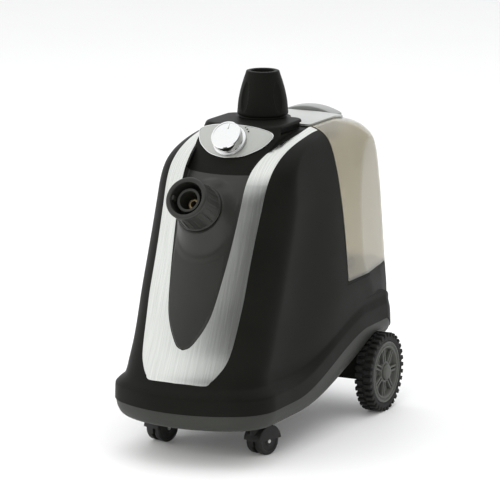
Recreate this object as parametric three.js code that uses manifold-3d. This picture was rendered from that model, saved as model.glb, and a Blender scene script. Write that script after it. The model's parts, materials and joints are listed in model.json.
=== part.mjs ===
// Upright garment steamer base on wheels: a hollow body leaning back over a low tray,
// with a lift-out water tank, a pole socket, a steam outlet and a boiler inside.
// Millimetres. X is across, the front faces -Y, Z is up, and the floor is at Z = 0.
import * as THREE from 'three';
import { mergeVertices } from 'three/addons/utils/BufferGeometryUtils.js';
import Module from 'manifold-3d';

const wasm = await Module();
wasm.setup();

const { smoothstep, lerp, degToRad } = THREE.MathUtils;
const touchGap = 0.35;         // air left between pieces that rest on each other
const wall = 3.2;              // plastic wall of the body
const fineTurn = 24;           // sides of a large round piece
const plainTurn = 16;          // sides of a small round piece

// Outline of the body at rising heights. It is symmetric about X = 0: a shallow arc at
// the front, a corner arc, a side that widens backwards, and a rounded rear corner.
const skirtStations = [
  { z: 66.9, front: -216.2, frontR: 153, cornerR: 57, halfFront: 107.6, half: 107.6, rear: 216.2, rearR: 45 },
  { z: 85, front: -215.6, frontR: 153, cornerR: 57, halfFront: 107, half: 107, rear: 215.7, rearR: 45 },
  { z: 90, front: -213, frontR: 153, cornerR: 57, halfFront: 103, half: 106, rear: 215, rearR: 44 },
  { z: 98, front: -206, frontR: 154, cornerR: 57, halfFront: 95, half: 104.5, rear: 213, rearR: 42 },
];
const bodyStations = [
  { z: 110, front: -200, frontR: 156, cornerR: 57, halfFront: 93.5, half: 104.6, rear: 212.5, rearR: 41 },
  { z: 138, front: -185, frontR: 160, cornerR: 57, halfFront: 93.5, half: 104.8, rear: 212, rearR: 40 },
  { z: 200, front: -160.5, frontR: 167, cornerR: 57, halfFront: 94.5, half: 103.6, rear: 211, rearR: 40 },
  { z: 260, front: -136.7, frontR: 170, cornerR: 57, halfFront: 94.5, half: 100.4, rear: 209, rearR: 40 },
  { z: 300, front: -121, frontR: 173, cornerR: 54, halfFront: 94, half: 96.6, rear: 207, rearR: 40 },
  { z: 325, front: -110.5, frontR: 175, cornerR: 45, halfFront: 92, half: 93, rear: 205, rearR: 40 },
  { z: 343, front: -98, frontR: 176, cornerR: 38, halfFront: 89.5, half: 89.5, rear: 201, rearR: 40 },
  { z: 355, front: -82, frontR: 176, cornerR: 35, halfFront: 86.5, half: 86.5, rear: 195, rearR: 42 },
  { z: 364, front: -63, frontR: 176, cornerR: 38, halfFront: 83, half: 83, rear: 186, rearR: 44 },
  { z: 371, front: -42, frontR: 176, cornerR: 44, halfFront: 78.5, half: 78.5, rear: 174, rearR: 44 },
  { z: 376, front: -20, frontR: 176, cornerR: 48, halfFront: 72, half: 72, rear: 160, rearR: 44 },
  { z: 381, front: 8, frontR: 176, cornerR: 48, halfFront: 62, half: 62, rear: 138, rearR: 44 },
];
const bowlStations = [
  { z: 45.5, front: -203, frontR: 145, cornerR: 50, halfFront: 97, half: 97, rear: 204, rearR: 38 },
  { z: 49.5, front: -208.5, frontR: 149, cornerR: 54, halfFront: 101.5, half: 101.5, rear: 209, rearR: 42 },
  { z: 58, front: -213.2, frontR: 152, cornerR: 56, halfFront: 105.2, half: 105.2, rear: 213.5, rearR: 44 },
  { z: 66.5, front: -215.2, frontR: 152.5, cornerR: 57, halfFront: 106.8, half: 106.8, rear: 215.5, rearR: 45 },
];
const roundTop = { from: 335, to: 378 };       // heights where the walls turn into the top
const seamRise = 51.4;                          // the seam climbs this far over the rear wheels
const seamDip = 24;                             // and comes down again to the rear edge
const edgeRise = 57;                            // the same for the tray's lower edge
const edgeDip = 22;
const facet = { x: 103, y: 115, z: 207, perY: 0.1765, perZ: 0.062 };   // flat pane at each rear corner

// Front panel: its outline is drawn in a plane that leans 45 degrees, so that one outline
// follows the front and the top. across is X, up is the height in that leaning plane.
const leaning = new THREE.Matrix4().makeBasis(
  new THREE.Vector3(1, 0, 0),
  new THREE.Vector3(0, Math.SQRT1_2, Math.SQRT1_2),
  new THREE.Vector3(0, -Math.SQRT1_2, Math.SQRT1_2),
);
const panelDepth = { from: 195, to: 350 };
const trimOuter = [
  [0, -72.5], [36, -70], [44.5, -63], [51, -53], [57, -39], [60.5, -20], [63, 12], [64.5, 38],
  [64.8, 76], [66, 116], [68, 156], [69.5, 192], [70, 226], [70.3, 262], [68.5, 310],
];
const trimInner = [
  [0, -33], [9, -29], [17, -18], [24.3, -4], [30.4, 15], [35.5, 50], [39.6, 88], [42.4, 128],
  [43.6, 160], [46, 187], [51, 218], [57, 246], [60, 272], [57.5, 310],
];
const trimThick = 1;
// Middle panel: height, front and arc radius. It stands proud low down and dips to the console.
const fasciaRows = [
  [120, -192.5, 115], [136, -186.5, 115], [150, -182.5, 115], [200, -164.2, 115], [250, -144.6, 115],
  [286, -129.5, 115], [305, -118.5, 118], [322, -105, 122], [338.5, -90, 128], [350, -79, 130],
];
const fasciaTop = 176;          // where the middle panel meets the console, in the leaning plane
const leaningReach = 330;

// Top: console, pole socket, lock collar and control face
const pole = { y: 29.9, r: 14.5, socketR: 17, low: 252 };
const collar = { base: 395.2, top: 450, baseR: 31.8, topR: 20.1, lipR: 30 };
const consoleTop = 392;
const groove = { from: -25, low: 380, high: 388.5, depth: 7 };
const controlFace = { y: -57.5, z: 373.5, lean: Math.atan2(29, 35), frontR: 130, half: 52.5 };
const plateOutline = [
  [0, -23], [12, -21.5], [26, -16.2], [40, -5.5], [46, 2], [48.8, 8.5],
  [49.3, 15], [44, 19.3], [26, 22.6], [0, 23.4],
];
const plateThick = 1.2;
const knob = { r: 19.3, flangeR: 21.3, low: 2, top: 17.5, spindleR: 3 };

// Steam outlet: its axis rises towards the front
const outlet = { y: -139, z: 304, rise: degToRad(29) };
const nut = { length: 41, baseR: 29, frontR: 26, boreR: 20.5 };
const spout = { r: 15, boreR: 11.5, back: -46, front: 33 };

// Water tank with its lid, grip and valve cap
const tank = { floor: 185.5, wall: 2.6, frontLow: 62.5, frontHigh: 47.5, channelR: 37.5 };
const lid = { half: 56, front: 48, rear: 148, proud: 2.2 };
const grip = { y: 166, half: 39, width: 22, top: 386.5, pocketHalf: 31, pocketFloor: 350 };
const cap = { x: 60, y: 138, r: 19, low: 177, neckR: 12.4, boreR: 3.4 };
const cradleColumnR = 36;
const cradleReach = wall + 2 * touchGap;      // from the tank's faces to the far side of its cradle
const receiver = { r: 27, floor: 160, top: 181.4 };

// Heater inside the body
const boiler = { y: -38, r: 54, low: 86, high: 132 };

// Running gear
const rearWheel = { x: 105.8, y: 151.5, r: 50.9, half: 11, rimR: 39.5, boreR: 4.4 };
const wheelArchR = 54.5;
const axle = { r: 4, half: 112 };
const carrier = { half: 84, halfDepth: 12, low: 42 };
const caster = { x: 69.4, y: -108, r: 17.4, yaw: degToRad(-17), trail: 12, web: 2.5, wheelNear: 3.1, wheelFar: 12 };
const casterBore = 4.5;
const pipes = { steamR: 8, feedR: 4 };
const screws = { x: 82, front: -70, rear: 70, postR: 6, boreR: 2.1, top: 112 };
const gland = { x: -48, z: 146, wallY: 212, r: 9, barrelR: 6.2, boreR: 3.7 };

const finishes = {
  bodyPlastic: { color: 0x20211d, roughness: 0.55, metalness: 0 },
  panelPlastic: { color: 0x2b2c28, roughness: 0.5, metalness: 0 },
  trayPlastic: { color: 0x52544e, roughness: 0.55, metalness: 0 },
  steel: { color: 0xb9bbb3, roughness: 0.3, metalness: 1 },
  silver: { color: 0xccceca, roughness: 0.4, metalness: 0.3 },
  chrome: { color: 0xe4e4e2, roughness: 0.12, metalness: 1 },
  smokeClear: { color: 0x99927a, roughness: 0.1, metalness: 0 },
  handleSatin: { color: 0x6f706c, roughness: 0.35, metalness: 0.2 },
  wheelGrey: { color: 0x555650, roughness: 0.6, metalness: 0 },
  tyreBlack: { color: 0x121210, roughness: 0.85, metalness: 0 },
  casterBlack: { color: 0x1a1a18, roughness: 0.5, metalness: 0 },
  brass: { color: 0xa98a4c, roughness: 0.35, metalness: 1 },
  aluminium: { color: 0xa9abad, roughness: 0.5, metalness: 1 },
  sealRubber: { color: 0x1c1c1c, roughness: 0.8, metalness: 0 },
  pipeRubber: { color: 0xb8b4a8, roughness: 0.6, metalness: 0 },
  ceramic: { color: 0xd9d4c6, roughness: 0.7, metalness: 0 },
};

const group = new THREE.Group();

// ---- solids ----------------------------------------------------------------

// Merges a geometry's shared corners and turns its faces outwards.
function sealed(geometry) {
  const bare = geometry.clone();
  bare.deleteAttribute('normal');
  bare.deleteAttribute('uv');
  const merged = mergeVertices(bare, 1e-4);
  const at = merged.attributes.position;
  const index = merged.index.array;
  const corner = [new THREE.Vector3(), new THREE.Vector3(), new THREE.Vector3()];
  let volume = 0;
  for (let i = 0; i < index.length; i += 3) {
    corner.forEach((point, k) => point.fromBufferAttribute(at, index[i + k]));
    volume += corner[0].dot(corner[1].clone().cross(corner[2]));
  }
  if (volume < 0) {
    for (let i = 0; i < index.length; i += 3) {
      [index[i], index[i + 1]] = [index[i + 1], index[i]];
    }
  }
  return merged;
}

function solid(geometry) {
  const merged = sealed(geometry);
  return new wasm.Manifold(new wasm.Mesh({
    numProp: 3,
    vertProperties: new Float32Array(merged.attributes.position.array),
    triVerts: new Uint32Array(merged.index.array),
  }));
}

function toGeometry(body) {
  const mesh = body.getMesh();
  const geometry = new THREE.BufferGeometry();
  geometry.setAttribute('position', new THREE.BufferAttribute(mesh.vertProperties, 3));
  geometry.setIndex(new THREE.BufferAttribute(mesh.triVerts, 1));
  geometry.computeVertexNormals();
  return geometry;
}

// Adds one named piece to the model, from a solid or from a plain geometry.
function addPiece(name, shape, finish, parent = group) {
  const geometry = shape.isBufferGeometry ? sealed(shape) : toGeometry(shape);
  const mesh = new THREE.Mesh(geometry, new THREE.MeshStandardMaterial(finishes[finish]));
  mesh.name = name;
  parent.add(mesh);
  return mesh;
}

// Closed skin over a stack of rings that mirror about X = 0 and have equal point counts.
// Point i faces point count - i, so each end is closed by rungs across the ring.
function loft(rings) {
  const count = rings[0].length;
  const points = rings.flat().flatMap((p) => [p.x, p.y, p.z]);
  const faces = [];
  for (let row = 0; row + 1 < rings.length; row += 1) {
    for (let i = 0; i < count; i += 1) {
      const a = row * count + i;
      const b = row * count + (i + 1) % count;
      faces.push(a, b, b + count, a, b + count, a + count);
    }
  }
  for (const row of [0, rings.length - 1]) {
    const across = (i) => row * count + (count - i) % count;
    const rung = [];
    for (let i = 0; i < count / 2; i += 1) {
      const here = row * count + i;
      if (i > 0) {
        rung.push([here, here + 1, across(i)]);
      }
      if (i + 1 < count / 2) {
        rung.push([here + 1, across(i + 1), across(i)]);
      }
    }
    for (const [a, b, c] of rung) {
      faces.push(...(row === 0 ? [c, b, a] : [a, b, c]));
    }
  }
  const geometry = new THREE.BufferGeometry();
  geometry.setAttribute('position', new THREE.Float32BufferAttribute(points, 3));
  geometry.setIndex(faces);
  return geometry;
}

function box(x, y, z) {
  const geometry = new THREE.BoxGeometry(x[1] - x[0], y[1] - y[0], z[1] - z[0]);
  return geometry.translate((x[0] + x[1]) / 2, (y[0] + y[1]) / 2, (z[0] + z[1]) / 2);
}

// Turned piece about Z, from (radius, height) pairs.
function turned(profile, sides = plainTurn) {
  const points = profile.map(([r, h]) => new THREE.Vector2(r, h));
  return new THREE.LatheGeometry(points, sides).rotateX(Math.PI / 2);
}

function rod(r, from, to, sides = plainTurn) {
  return turned([[0, from], [r, from], [r, to], [0, to]], sides);
}

function tube(outer, inner, from, to, sides = plainTurn) {
  return turned([[inner, from], [outer, from], [outer, to], [inner, to], [inner, from]], sides);
}

function pipe(points, r, steps, sides = 10) {
  const section = new THREE.Shape().absarc(0, 0, r, 0, 2 * Math.PI);
  const path = new THREE.CatmullRomCurve3(points.map((p) => new THREE.Vector3(...p)));
  return new THREE.ExtrudeGeometry(section, { steps, curveSegments: sides / 2, extrudePath: path });
}

// Prism over a plane outline, extruded along the plane's normal.
function prism(shape, from, to, plane, curveSegments = 8) {
  const geometry = new THREE.ExtrudeGeometry(shape, { depth: to - from, bevelEnabled: false, curveSegments });
  return geometry.translate(0, 0, from).applyMatrix4(plane);
}

// ---- body envelope ---------------------------------------------------------

const seamLift = (y) => seamRise * smoothstep(y, -90, 130) - seamDip * smoothstep(y, 165, 216);
const edgeLift = (y) => edgeRise * smoothstep(y, -60, 215) - edgeDip * smoothstep(y, 170, 216);

function withMirror(half) {
  const left = half.slice(1, -1).reverse().map((p) => new THREE.Vector3(-p.x, p.y, p.z));
  return [...half, ...left];
}

function arcPoints(centreX, centreY, r, from, to, steps) {
  return Array.from({ length: steps + 1 }, (_, i) => {
    const turn = lerp(from, to, i / steps);
    return new THREE.Vector3(centreX + r * Math.sin(turn), centreY - r * Math.cos(turn), 0);
  });
}

// Half outline of one station, drawn inwards by inset, from the front to the rear.
function halfOutline(station, inset, rearFacet) {
  const frontR = station.frontR - inset;
  const cornerR = Math.max(station.cornerR - inset, 6);
  const rearR = Math.max(station.rearR - inset, 6);
  const halfFront = station.halfFront - inset;
  const half = station.half - inset;
  const front = station.front + inset;
  const rear = station.rear - inset;
  const meet = Math.asin((halfFront - cornerR) / (frontR - cornerR));
  const cornerY = front + frontR - (frontR - cornerR) * Math.cos(meet);
  const limit = (y) => facet.x - inset - facet.perY * (y - facet.y) - facet.perZ * (station.z - facet.z);
  const crease = facet.y + (limit(facet.y) - half) / facet.perY;
  const sideEnd = rear - rearR;
  const sideTurn = rearFacet ? Math.min(crease, sideEnd - 2) : lerp(cornerY, sideEnd, 0.8);
  const sideX = (y) => lerp(halfFront, half, smoothstep(y, cornerY, 45));
  const points = [
    ...arcPoints(0, front + frontR, frontR, 0, meet, 2),
    ...arcPoints(halfFront - cornerR, cornerY, cornerR, meet, Math.PI / 2, 5).slice(1),
  ];
  for (const share of [0.25, 0.5, 0.75, 1]) {
    const y = lerp(cornerY, sideTurn, share);
    points.push(new THREE.Vector3(sideX(y), y, 0));
  }
  points.push(...arcPoints(half - rearR, sideEnd, rearR, Math.PI / 2, Math.PI, 4));
  points.push(new THREE.Vector3(0, rear, 0));
  if (rearFacet) {
    for (const point of points) {
      point.x = Math.min(point.x, limit(point.y));
    }
  }
  return points;
}

function ringAt(station, inset, heightAt, rearFacet) {
  const drop = inset * smoothstep(station.z, roundTop.from, roundTop.to);
  const half = halfOutline(station, inset, rearFacet);
  half.forEach((point) => point.setZ(heightAt(point.y) - drop));
  return withMirror(half);
}

// Whole body from the seam to the top. A positive inset gives the inside of a wall.
function envelope(inset, openBelow = 0) {
  const skirt = skirtStations.map((station, row) => {
    const below = row === 0 ? openBelow : 0;
    return ringAt(station, inset, (y) => station.z - below + seamLift(y), false);
  });
  const upper = bodyStations.map((station) => {
    const follow = 1 - smoothstep(station.z, 98, 215);
    return ringAt(station, inset, (y) => station.z + follow * seamLift(y), true);
  });
  return solid(loft([...skirt, ...upper]));
}

// Panel outline in the leaning plane, mirrored about X = 0 and grown outwards by grow.
function panelShape(outline, grow) {
  const curve = new THREE.SplineCurve(outline.map(([x, v]) => new THREE.Vector2(x, v)));
  const steps = outline.length + 4;
  const right = Array.from({ length: steps + 1 }, (_, i) => {
    const along = curve.getTangent(i / steps);
    const point = curve.getPoint(i / steps).add(new THREE.Vector2(along.y, -along.x).multiplyScalar(grow));
    return i === 0 ? point.setX(0) : point;
  });
  const left = right.slice(1).reverse().map((p) => new THREE.Vector2(-p.x, p.y));
  return new THREE.Shape([...right, ...left]);
}

function panelPrism(outline, grow = 0) {
  return solid(prism(panelShape(outline, grow), panelDepth.from, panelDepth.to, leaning));
}

function leaningBlock(low, high) {
  const shape = new THREE.Shape([[-130, low], [130, low], [130, high], [-130, high]]
    .map(([x, v]) => new THREE.Vector2(x, v)));
  return solid(prism(shape, panelDepth.from - 20, panelDepth.to + 20, leaning));
}

// Space behind the leaning front plane of the tank and above its floor.
function tankSpace(shrink) {
  const alongX = new THREE.Matrix4().makeBasis(
    new THREE.Vector3(0, 1, 0),
    new THREE.Vector3(0, 0, 1),
    new THREE.Vector3(1, 0, 0),
  );
  const low = tank.floor + shrink;
  const top = 460;
  const slope = (tank.frontHigh - tank.frontLow) / (381 - tank.floor);
  const frontAt = (z) => tank.frontLow + shrink + slope * (z - tank.floor);
  const outline = [[frontAt(low), low], [260, low], [260, top], [frontAt(top), top]];
  const shape = new THREE.Shape(outline.map(([y, z]) => new THREE.Vector2(y, z)));
  return solid(prism(shape, -130, 130, alongX));
}

const poleColumn = (r, from, to) => solid(rod(r, from, to, fineTurn).translate(0, pole.y, 0));

const outerSkin = envelope(0);
const trimBed = envelope(trimThick + touchGap);
// The walls and trim around the front opening, with the air that the middle pieces keep to them.
const surround = envelope(-touchGap).subtract(envelope(wall + touchGap)).subtract(panelPrism(trimInner, -touchGap));

// Where each caster's swivel pin stands, ahead of its wheels.
const casterTrail = new THREE.Vector2(0, caster.trail).rotateAround(new THREE.Vector2(), caster.yaw);
const casterPivot = (side) => new THREE.Vector2(side * caster.x, caster.y).sub(casterTrail);
const screwFloor = (y) => bowlStations[0].z + edgeLift(y);
const screwPlaces = [-1, 1].flatMap((side) => [screws.front, screws.rear].map((y) => [side * screws.x, y]));

// ---- covers ----------------------------------------------------------------

function bowlRings(inset, floorRaise, rimRaise) {
  return bowlStations.map((station, row) => {
    const climb = row / (bowlStations.length - 1);
    const raise = lerp(floorRaise, rimRaise, climb ** 4);
    const lift = (y) => lerp(edgeLift(y), seamLift(y), climb);
    return ringAt(station, inset, (y) => station.z + lift(y) + raise, false);
  });
}

function baseTray() {
  const outside = solid(loft(bowlRings(0, 0, 0)));
  const inside = solid(loft(bowlRings(wall, wall, 30)));
  let tray = outside.subtract(inside);
  for (const side of [-1, 1]) {
    const arch = rod(wheelArchR, 92, 130, fineTurn).rotateY(side * Math.PI / 2);
    tray = tray.subtract(solid(arch.translate(0, rearWheel.y, rearWheel.r)));
    const pin = casterPivot(side);
    tray = tray.add(solid(rod(9, 46, 58).translate(pin.x, pin.y, 0)))
      .subtract(solid(rod(casterBore, 40, 65, 12).translate(pin.x, pin.y, 0)));
  }
  for (const [x, y] of screwPlaces) {
    tray = tray.subtract(solid(rod(screws.boreR + 0.4, 30, 90, 12).translate(x, y, 0)));
  }
  return tray;
}

// Puts a piece made along Z on the gland's axis, pointing out of the rear wall.
const throughRear = (geometry) => geometry.rotateX(-Math.PI / 2).translate(gland.x, gland.wallY, gland.z);

function bodyShell() {
  const hollow = outerSkin.subtract(envelope(wall, 40));
  const trimRebate = panelPrism(trimOuter, touchGap).subtract(trimBed);
  let shell = hollow;
  for (const [x, y] of screwPlaces) {
    const low = screwFloor(y) + 8;
    const rib = [Math.min(x, x * 1.35), Math.max(x, x * 1.35)];
    const post = solid(tube(screws.postR, screws.boreR + 0.4, low, screws.top, 12).translate(x, y, 0));
    shell = shell.add(solid(box(rib, [y - 1.5, y + 1.5], [screws.top - 22, screws.top]))
      .intersect(envelope(wall / 2))
      .subtract(solid(rod(screws.boreR + 1, 60, 130, 12).translate(x, y, 0))))
      .add(post);
  }
  return shell
    .subtract(trimRebate)
    .subtract(panelPrism(trimInner, touchGap))
    .subtract(tankSpace(-cradleReach))
    .subtract(solid(throughRear(rod(gland.barrelR + touchGap, -20, 20, 12))));
}

function steelTrim() {
  const skin = outerSkin.subtract(envelope(trimThick));
  return skin
    .intersect(panelPrism(trimOuter))
    .subtract(panelPrism(trimInner))
    .subtract(tankSpace(-cradleReach));
}

// ---- front panel and console ----------------------------------------------

// Frame with Z along a piece's own axis: straight up, then leant towards the front.
function leantFrame(y, z, lean) {
  const frame = new THREE.Matrix4().makeRotationX(lean);
  return frame.setPosition(0, y, z);
}

const outletFrame = leantFrame(outlet.y, outlet.z, Math.PI / 2 - outlet.rise);
const faceFrame = leantFrame(controlFace.y, controlFace.z, Math.PI / 2 - controlFace.lean);
const placed = (geometry, frame) => solid(geometry.clone().applyMatrix4(frame));

// Solid behind one curved front surface: rows are [height, front, arc radius].
function slab(rows, half, inset) {
  const rings = rows.map(([z, front, r]) => {
    const arc = arcPoints(0, front + inset + r, r, 0, Math.asin(half / r), 5);
    const ring = withMirror([...arc, new THREE.Vector3(half, 60, 0), new THREE.Vector3(0, 60, 0)]);
    ring.forEach((point) => point.setZ(z));
    return ring;
  });
  return solid(loft(rings));
}

function frontFascia() {
  const skin = slab(fasciaRows, 60, 0).subtract(slab(fasciaRows, 60, wall));
  const boss = turned([[0, -30], [39, -30], [36, -10], [31.5, -0.6], [0, -0.6]], fineTurn);
  const bore = rod(spout.r + 0.5, -60, 10);
  return skin
    .add(placed(boss, outletFrame).intersect(slab(fasciaRows, 60, -40)).subtract(slab(fasciaRows, 60, wall)))
    .intersect(panelPrism(trimInner, -touchGap))
    .subtract(placed(bore, outletFrame))
    .intersect(leaningBlock(-60, fasciaTop - touchGap));
}

// Console outline: a shallow front arc, straight sides, and a round end about the pole.
function consoleRing(z, front, half, inset) {
  const r = controlFace.frontR - inset;
  const cornerR = 8;
  const side = half - inset;
  const meet = Math.asin((side - cornerR) / (r - cornerR));
  const top = front + inset;
  const cornerY = top + r - (r - cornerR) * Math.cos(meet);
  const rearCorner = { x: 40, y: 31, r: side - 40 };
  const endR = 35 - inset;
  const endMeet = Math.PI / 2 + Math.asin((rearCorner.y + rearCorner.r - pole.y) / endR);
  const half2d = [
    ...arcPoints(0, top + r, r, 0, meet, 3),
    ...arcPoints(side - cornerR, cornerY, cornerR, meet, Math.PI / 2, 3).slice(1),
    ...arcPoints(rearCorner.x, rearCorner.y, rearCorner.r, Math.PI / 2, Math.PI, 3),
    ...arcPoints(0, pole.y, endR, endMeet, Math.PI, 4),
  ];
  half2d.forEach((point) => point.setZ(z));
  half2d[half2d.length - 1].x = 0;
  return withMirror(half2d);
}

// Height and front of the console's sloping face, from behind the middle panel to the top edge.
const consoleRows = [
  { z: 330, front: -98.5, half: 40 },
  { z: 338.5, front: -90, half: 43 },
  { z: 356, front: -72, half: 47 },
  { z: 374, front: -57.1, half: 52 },
  { z: 389.5, front: -44.3, half: 52.5 },
  { z: 392, front: -40, half: 50 },
];

function consoleBlock(inset, openBelow = 0, widen = 0) {
  const rows = consoleRows.map(({ z, front, half }) => {
    const drop = Math.max(inset, 0) * smoothstep(z, 380, 389);
    return consoleRing(z - drop, front, half + widen, inset);
  });
  if (openBelow > 0) {
    rows.unshift(consoleRing(consoleRows[0].z - openBelow, consoleRows[0].front, consoleRows[0].half, inset));
  }
  return solid(loft(rows));
}

function topConsole() {
  const above = leaningBlock(fasciaTop, leaningReach);
  const flange = outerSkin.subtract(envelope(wall))
    .intersect(panelPrism(trimInner, -touchGap))
    .intersect(above)
    .intersect(consoleBlock(0, 0, 11))
    .subtract(tankSpace(-cradleReach));
  let body = consoleBlock(0).intersect(above).subtract(surround).add(flange).subtract(consoleBlock(wall, 30));
  for (const side of [-1, 1]) {
    const across = (near, far) => [side * near, side * far].sort((a, b) => a - b);
    const depth = controlFace.half - groove.depth;
    const lining = box(across(depth - wall, depth + 0.5), [groove.from, 33], [groove.low - 3, groove.high + 1]);
    const slot = box(across(depth, 80), [groove.from, 60], [groove.low, groove.high]);
    const ledge = box(across(depth - wall, controlFace.half), [groove.from, 33], [groove.low - 3, groove.low]);
    body = body.add(solid(lining)).add(solid(ledge)).subtract(solid(slot));
  }
  return body
    .subtract(poleColumn(pole.socketR + touchGap, 300, 420))
    .subtract(placed(rod(knob.spindleR + 0.6, -30, 20), faceFrame));
}

function controlPlate() {
  const skin = consoleBlock(-touchGap - plateThick).subtract(consoleBlock(-touchGap));
  const right = new THREE.SplineCurve(plateOutline.map(([x, v]) => new THREE.Vector2(x, v))).getPoints(18);
  const left = right.slice(1, -1).reverse().map((p) => new THREE.Vector2(-p.x, p.y));
  const outline = new THREE.Shape([...right, ...left]);
  const column = prism(outline, -20, 20, faceFrame);
  const hole = rod(knob.spindleR + 0.6, -30, 20);
  return skin.intersect(solid(column)).subtract(placed(hole, faceFrame));
}

// ---- water side --------------------------------------------------------------

const capAt = (geometry) => geometry.translate(cap.x, cap.y, 0);

function tankCradle() {
  const slab = tankSpace(-touchGap - wall).subtract(tankSpace(-touchGap)).intersect(envelope(0.2));
  const rise = { from: tank.floor - 3, to: 345.5 };
  const column = poleColumn(cradleColumnR, rise.from, rise.to);
  return slab.add(column.intersect(tankSpace(-touchGap - wall)))
    .subtract(poleColumn(cradleColumnR - wall, 0, 345.5 + touchGap))
    .subtract(poleColumn(cradleColumnR, 345.5 + touchGap, 460))
    .subtract(consoleBlock(-touchGap))
    .subtract(solid(capAt(rod(cap.r + 3, 170, 200, fineTurn))));
}

function tankShell() {
  const outside = tankSpace(0).intersect(outerSkin);
  const pocket = (grow) => solid(box(
    [-grip.pocketHalf - grow, grip.pocketHalf + grow],
    [grip.y - 14 - grow, grip.y + 11 + grow],
    [grip.pocketFloor - grow, 400],
  ));
  const cavity = tankSpace(tank.wall)
    .intersect(envelope(tank.wall))
    .subtract(poleColumn(tank.channelR + tank.wall, 150, 450))
    .subtract(pocket(tank.wall));
  return outside
    .subtract(poleColumn(tank.channelR, 150, 450))
    .subtract(pocket(0))
    .subtract(cavity)
    .subtract(solid(capAt(rod(cap.neckR + 0.4, 170, 200))));
}

function tankLid() {
  const outline = new THREE.Shape();
  const round = 6;
  outline.moveTo(-lid.half, lid.front);
  outline.lineTo(lid.half, lid.front);
  outline.lineTo(lid.half, lid.rear - round);
  outline.quadraticCurveTo(lid.half, lid.rear, lid.half - round, lid.rear);
  outline.lineTo(round - lid.half, lid.rear);
  outline.quadraticCurveTo(-lid.half, lid.rear, -lid.half, lid.rear - round);
  const block = solid(prism(outline, 340, 400, new THREE.Matrix4()));
  return envelope(-lid.proud).subtract(envelope(-touchGap))
    .intersect(block)
    .subtract(poleColumn(tank.channelR, 300, 450));
}

function tankGrip() {
  const thick = 6.5;
  const foot = 366;
  const shape = new THREE.Shape();
  shape.moveTo(-grip.half, foot);
  shape.lineTo(-grip.half, grip.top - 9);
  shape.quadraticCurveTo(0, grip.top + 9, grip.half, grip.top - 9);
  shape.lineTo(grip.half, foot);
  shape.lineTo(grip.half - thick, foot);
  shape.lineTo(grip.half - thick, grip.top - 12);
  shape.quadraticCurveTo(0, grip.top + 9 - 2 * thick, thick - grip.half, grip.top - 12);
  shape.lineTo(thick - grip.half, foot);
  const acrossY = new THREE.Matrix4().makeBasis(
    new THREE.Vector3(1, 0, 0),
    new THREE.Vector3(0, 0, 1),
    new THREE.Vector3(0, -1, 0),
  );
  const arch = prism(shape, -grip.y - grip.width / 2, -grip.y + grip.width / 2, acrossY, 10);
  return solid(arch).subtract(envelope(-touchGap));
}

const capFlangeTop = tank.floor - touchGap;
const valveCap = turned([
  [cap.boreR, cap.low], [cap.r, cap.low], [cap.r, capFlangeTop - 1.8], [cap.neckR, capFlangeTop - 1.8],
  [cap.neckR, 197], [9.4, 197], [9.4, cap.low + 3], [cap.boreR, cap.low + 3], [cap.boreR, cap.low],
], fineTurn);
const valvePlunger = turned([
  [0, cap.low - 5], [2.8, cap.low - 5], [2.8, cap.low + 3.4], [7.4, cap.low + 3.4],
  [7.4, cap.low + 5], [2.2, cap.low + 5], [2.2, 198], [0, 198],
]);

function valveSpring() {
  const turns = 3;
  const from = cap.low + 6;
  const to = 193;
  const points = Array.from({ length: turns * 8 + 1 }, (_, i) => {
    const turn = i * 2 * Math.PI / 8;
    return [5.4 * Math.cos(turn), 5.4 * Math.sin(turn), lerp(from, to, i / (turns * 8))];
  });
  return pipe(points, 0.6, turns * 8, 6);
}

// ---- control and pole pieces ---------------------------------------------------

const knobShape = turned([
  [knob.spindleR + 0.3, knob.low], [knob.flangeR, knob.low], [knob.flangeR, knob.low + 2.2],
  [knob.r - 1.6, knob.low + 3.2], [knob.r - 1.6, knob.low + 4.6], [knob.r, knob.low + 5.6],
  [knob.r, knob.top - 1.2], [knob.r - 1.2, knob.top], [0, knob.top], [0, knob.top - 4],
  [knob.spindleR + 0.3, knob.top - 4], [knob.spindleR + 0.3, knob.low],
], fineTurn);

function regulatorBody() {
  const casing = new THREE.BoxGeometry(34, 34, 15).translate(0, 0, -15);
  return placed(casing, faceFrame).subtract(placed(rod(knob.spindleR + 0.4, -40, 20), faceFrame));
}

function lockCollar() {
  const shape = turned([
    [pole.socketR + 0.7, collar.base], [collar.baseR - 0.8, collar.base], [collar.baseR, collar.base + 2],
    [30.6, collar.base + 16], [28.4, collar.base + 28], [25.2, collar.base + 40],
    [collar.topR + 1, collar.top - 2], [collar.topR - 0.6, collar.top], [pole.r + 0.8, collar.top],
    [pole.r, collar.top - 1.2], [pole.r, collar.top - 5], [20.2, collar.top - 11],
    [20.2, collar.top - 19], [pole.socketR + 0.7, collar.top - 23], [pole.socketR + 0.7, collar.base],
  ], fineTurn);
  let body = solid(shape.translate(0, pole.y, 0));
  const scallops = 6;
  for (let i = 0; i < scallops; i += 1) {
    const turn = (i + 0.25) * 2 * Math.PI / scallops;
    const cutter = new THREE.SphereGeometry(1, 8, 5).scale(5, 5, 22).rotateX(0.19).translate(0, -31.5, 424)
      .rotateZ(turn).translate(0, pole.y, 0);
    body = body.subtract(solid(cutter));
  }
  return body;
}

function poleSocket() {
  const shape = turned([
    [pole.r, pole.low], [pole.socketR, pole.low], [pole.socketR, consoleTop + touchGap],
    [collar.lipR, consoleTop + touchGap], [collar.lipR - 0.6, collar.base - touchGap],
    [pole.socketR, collar.base - touchGap], [pole.socketR, 421], [pole.r, 421], [pole.r, pole.low],
  ], fineTurn);
  return shape.translate(0, pole.y, 0);
}

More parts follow.
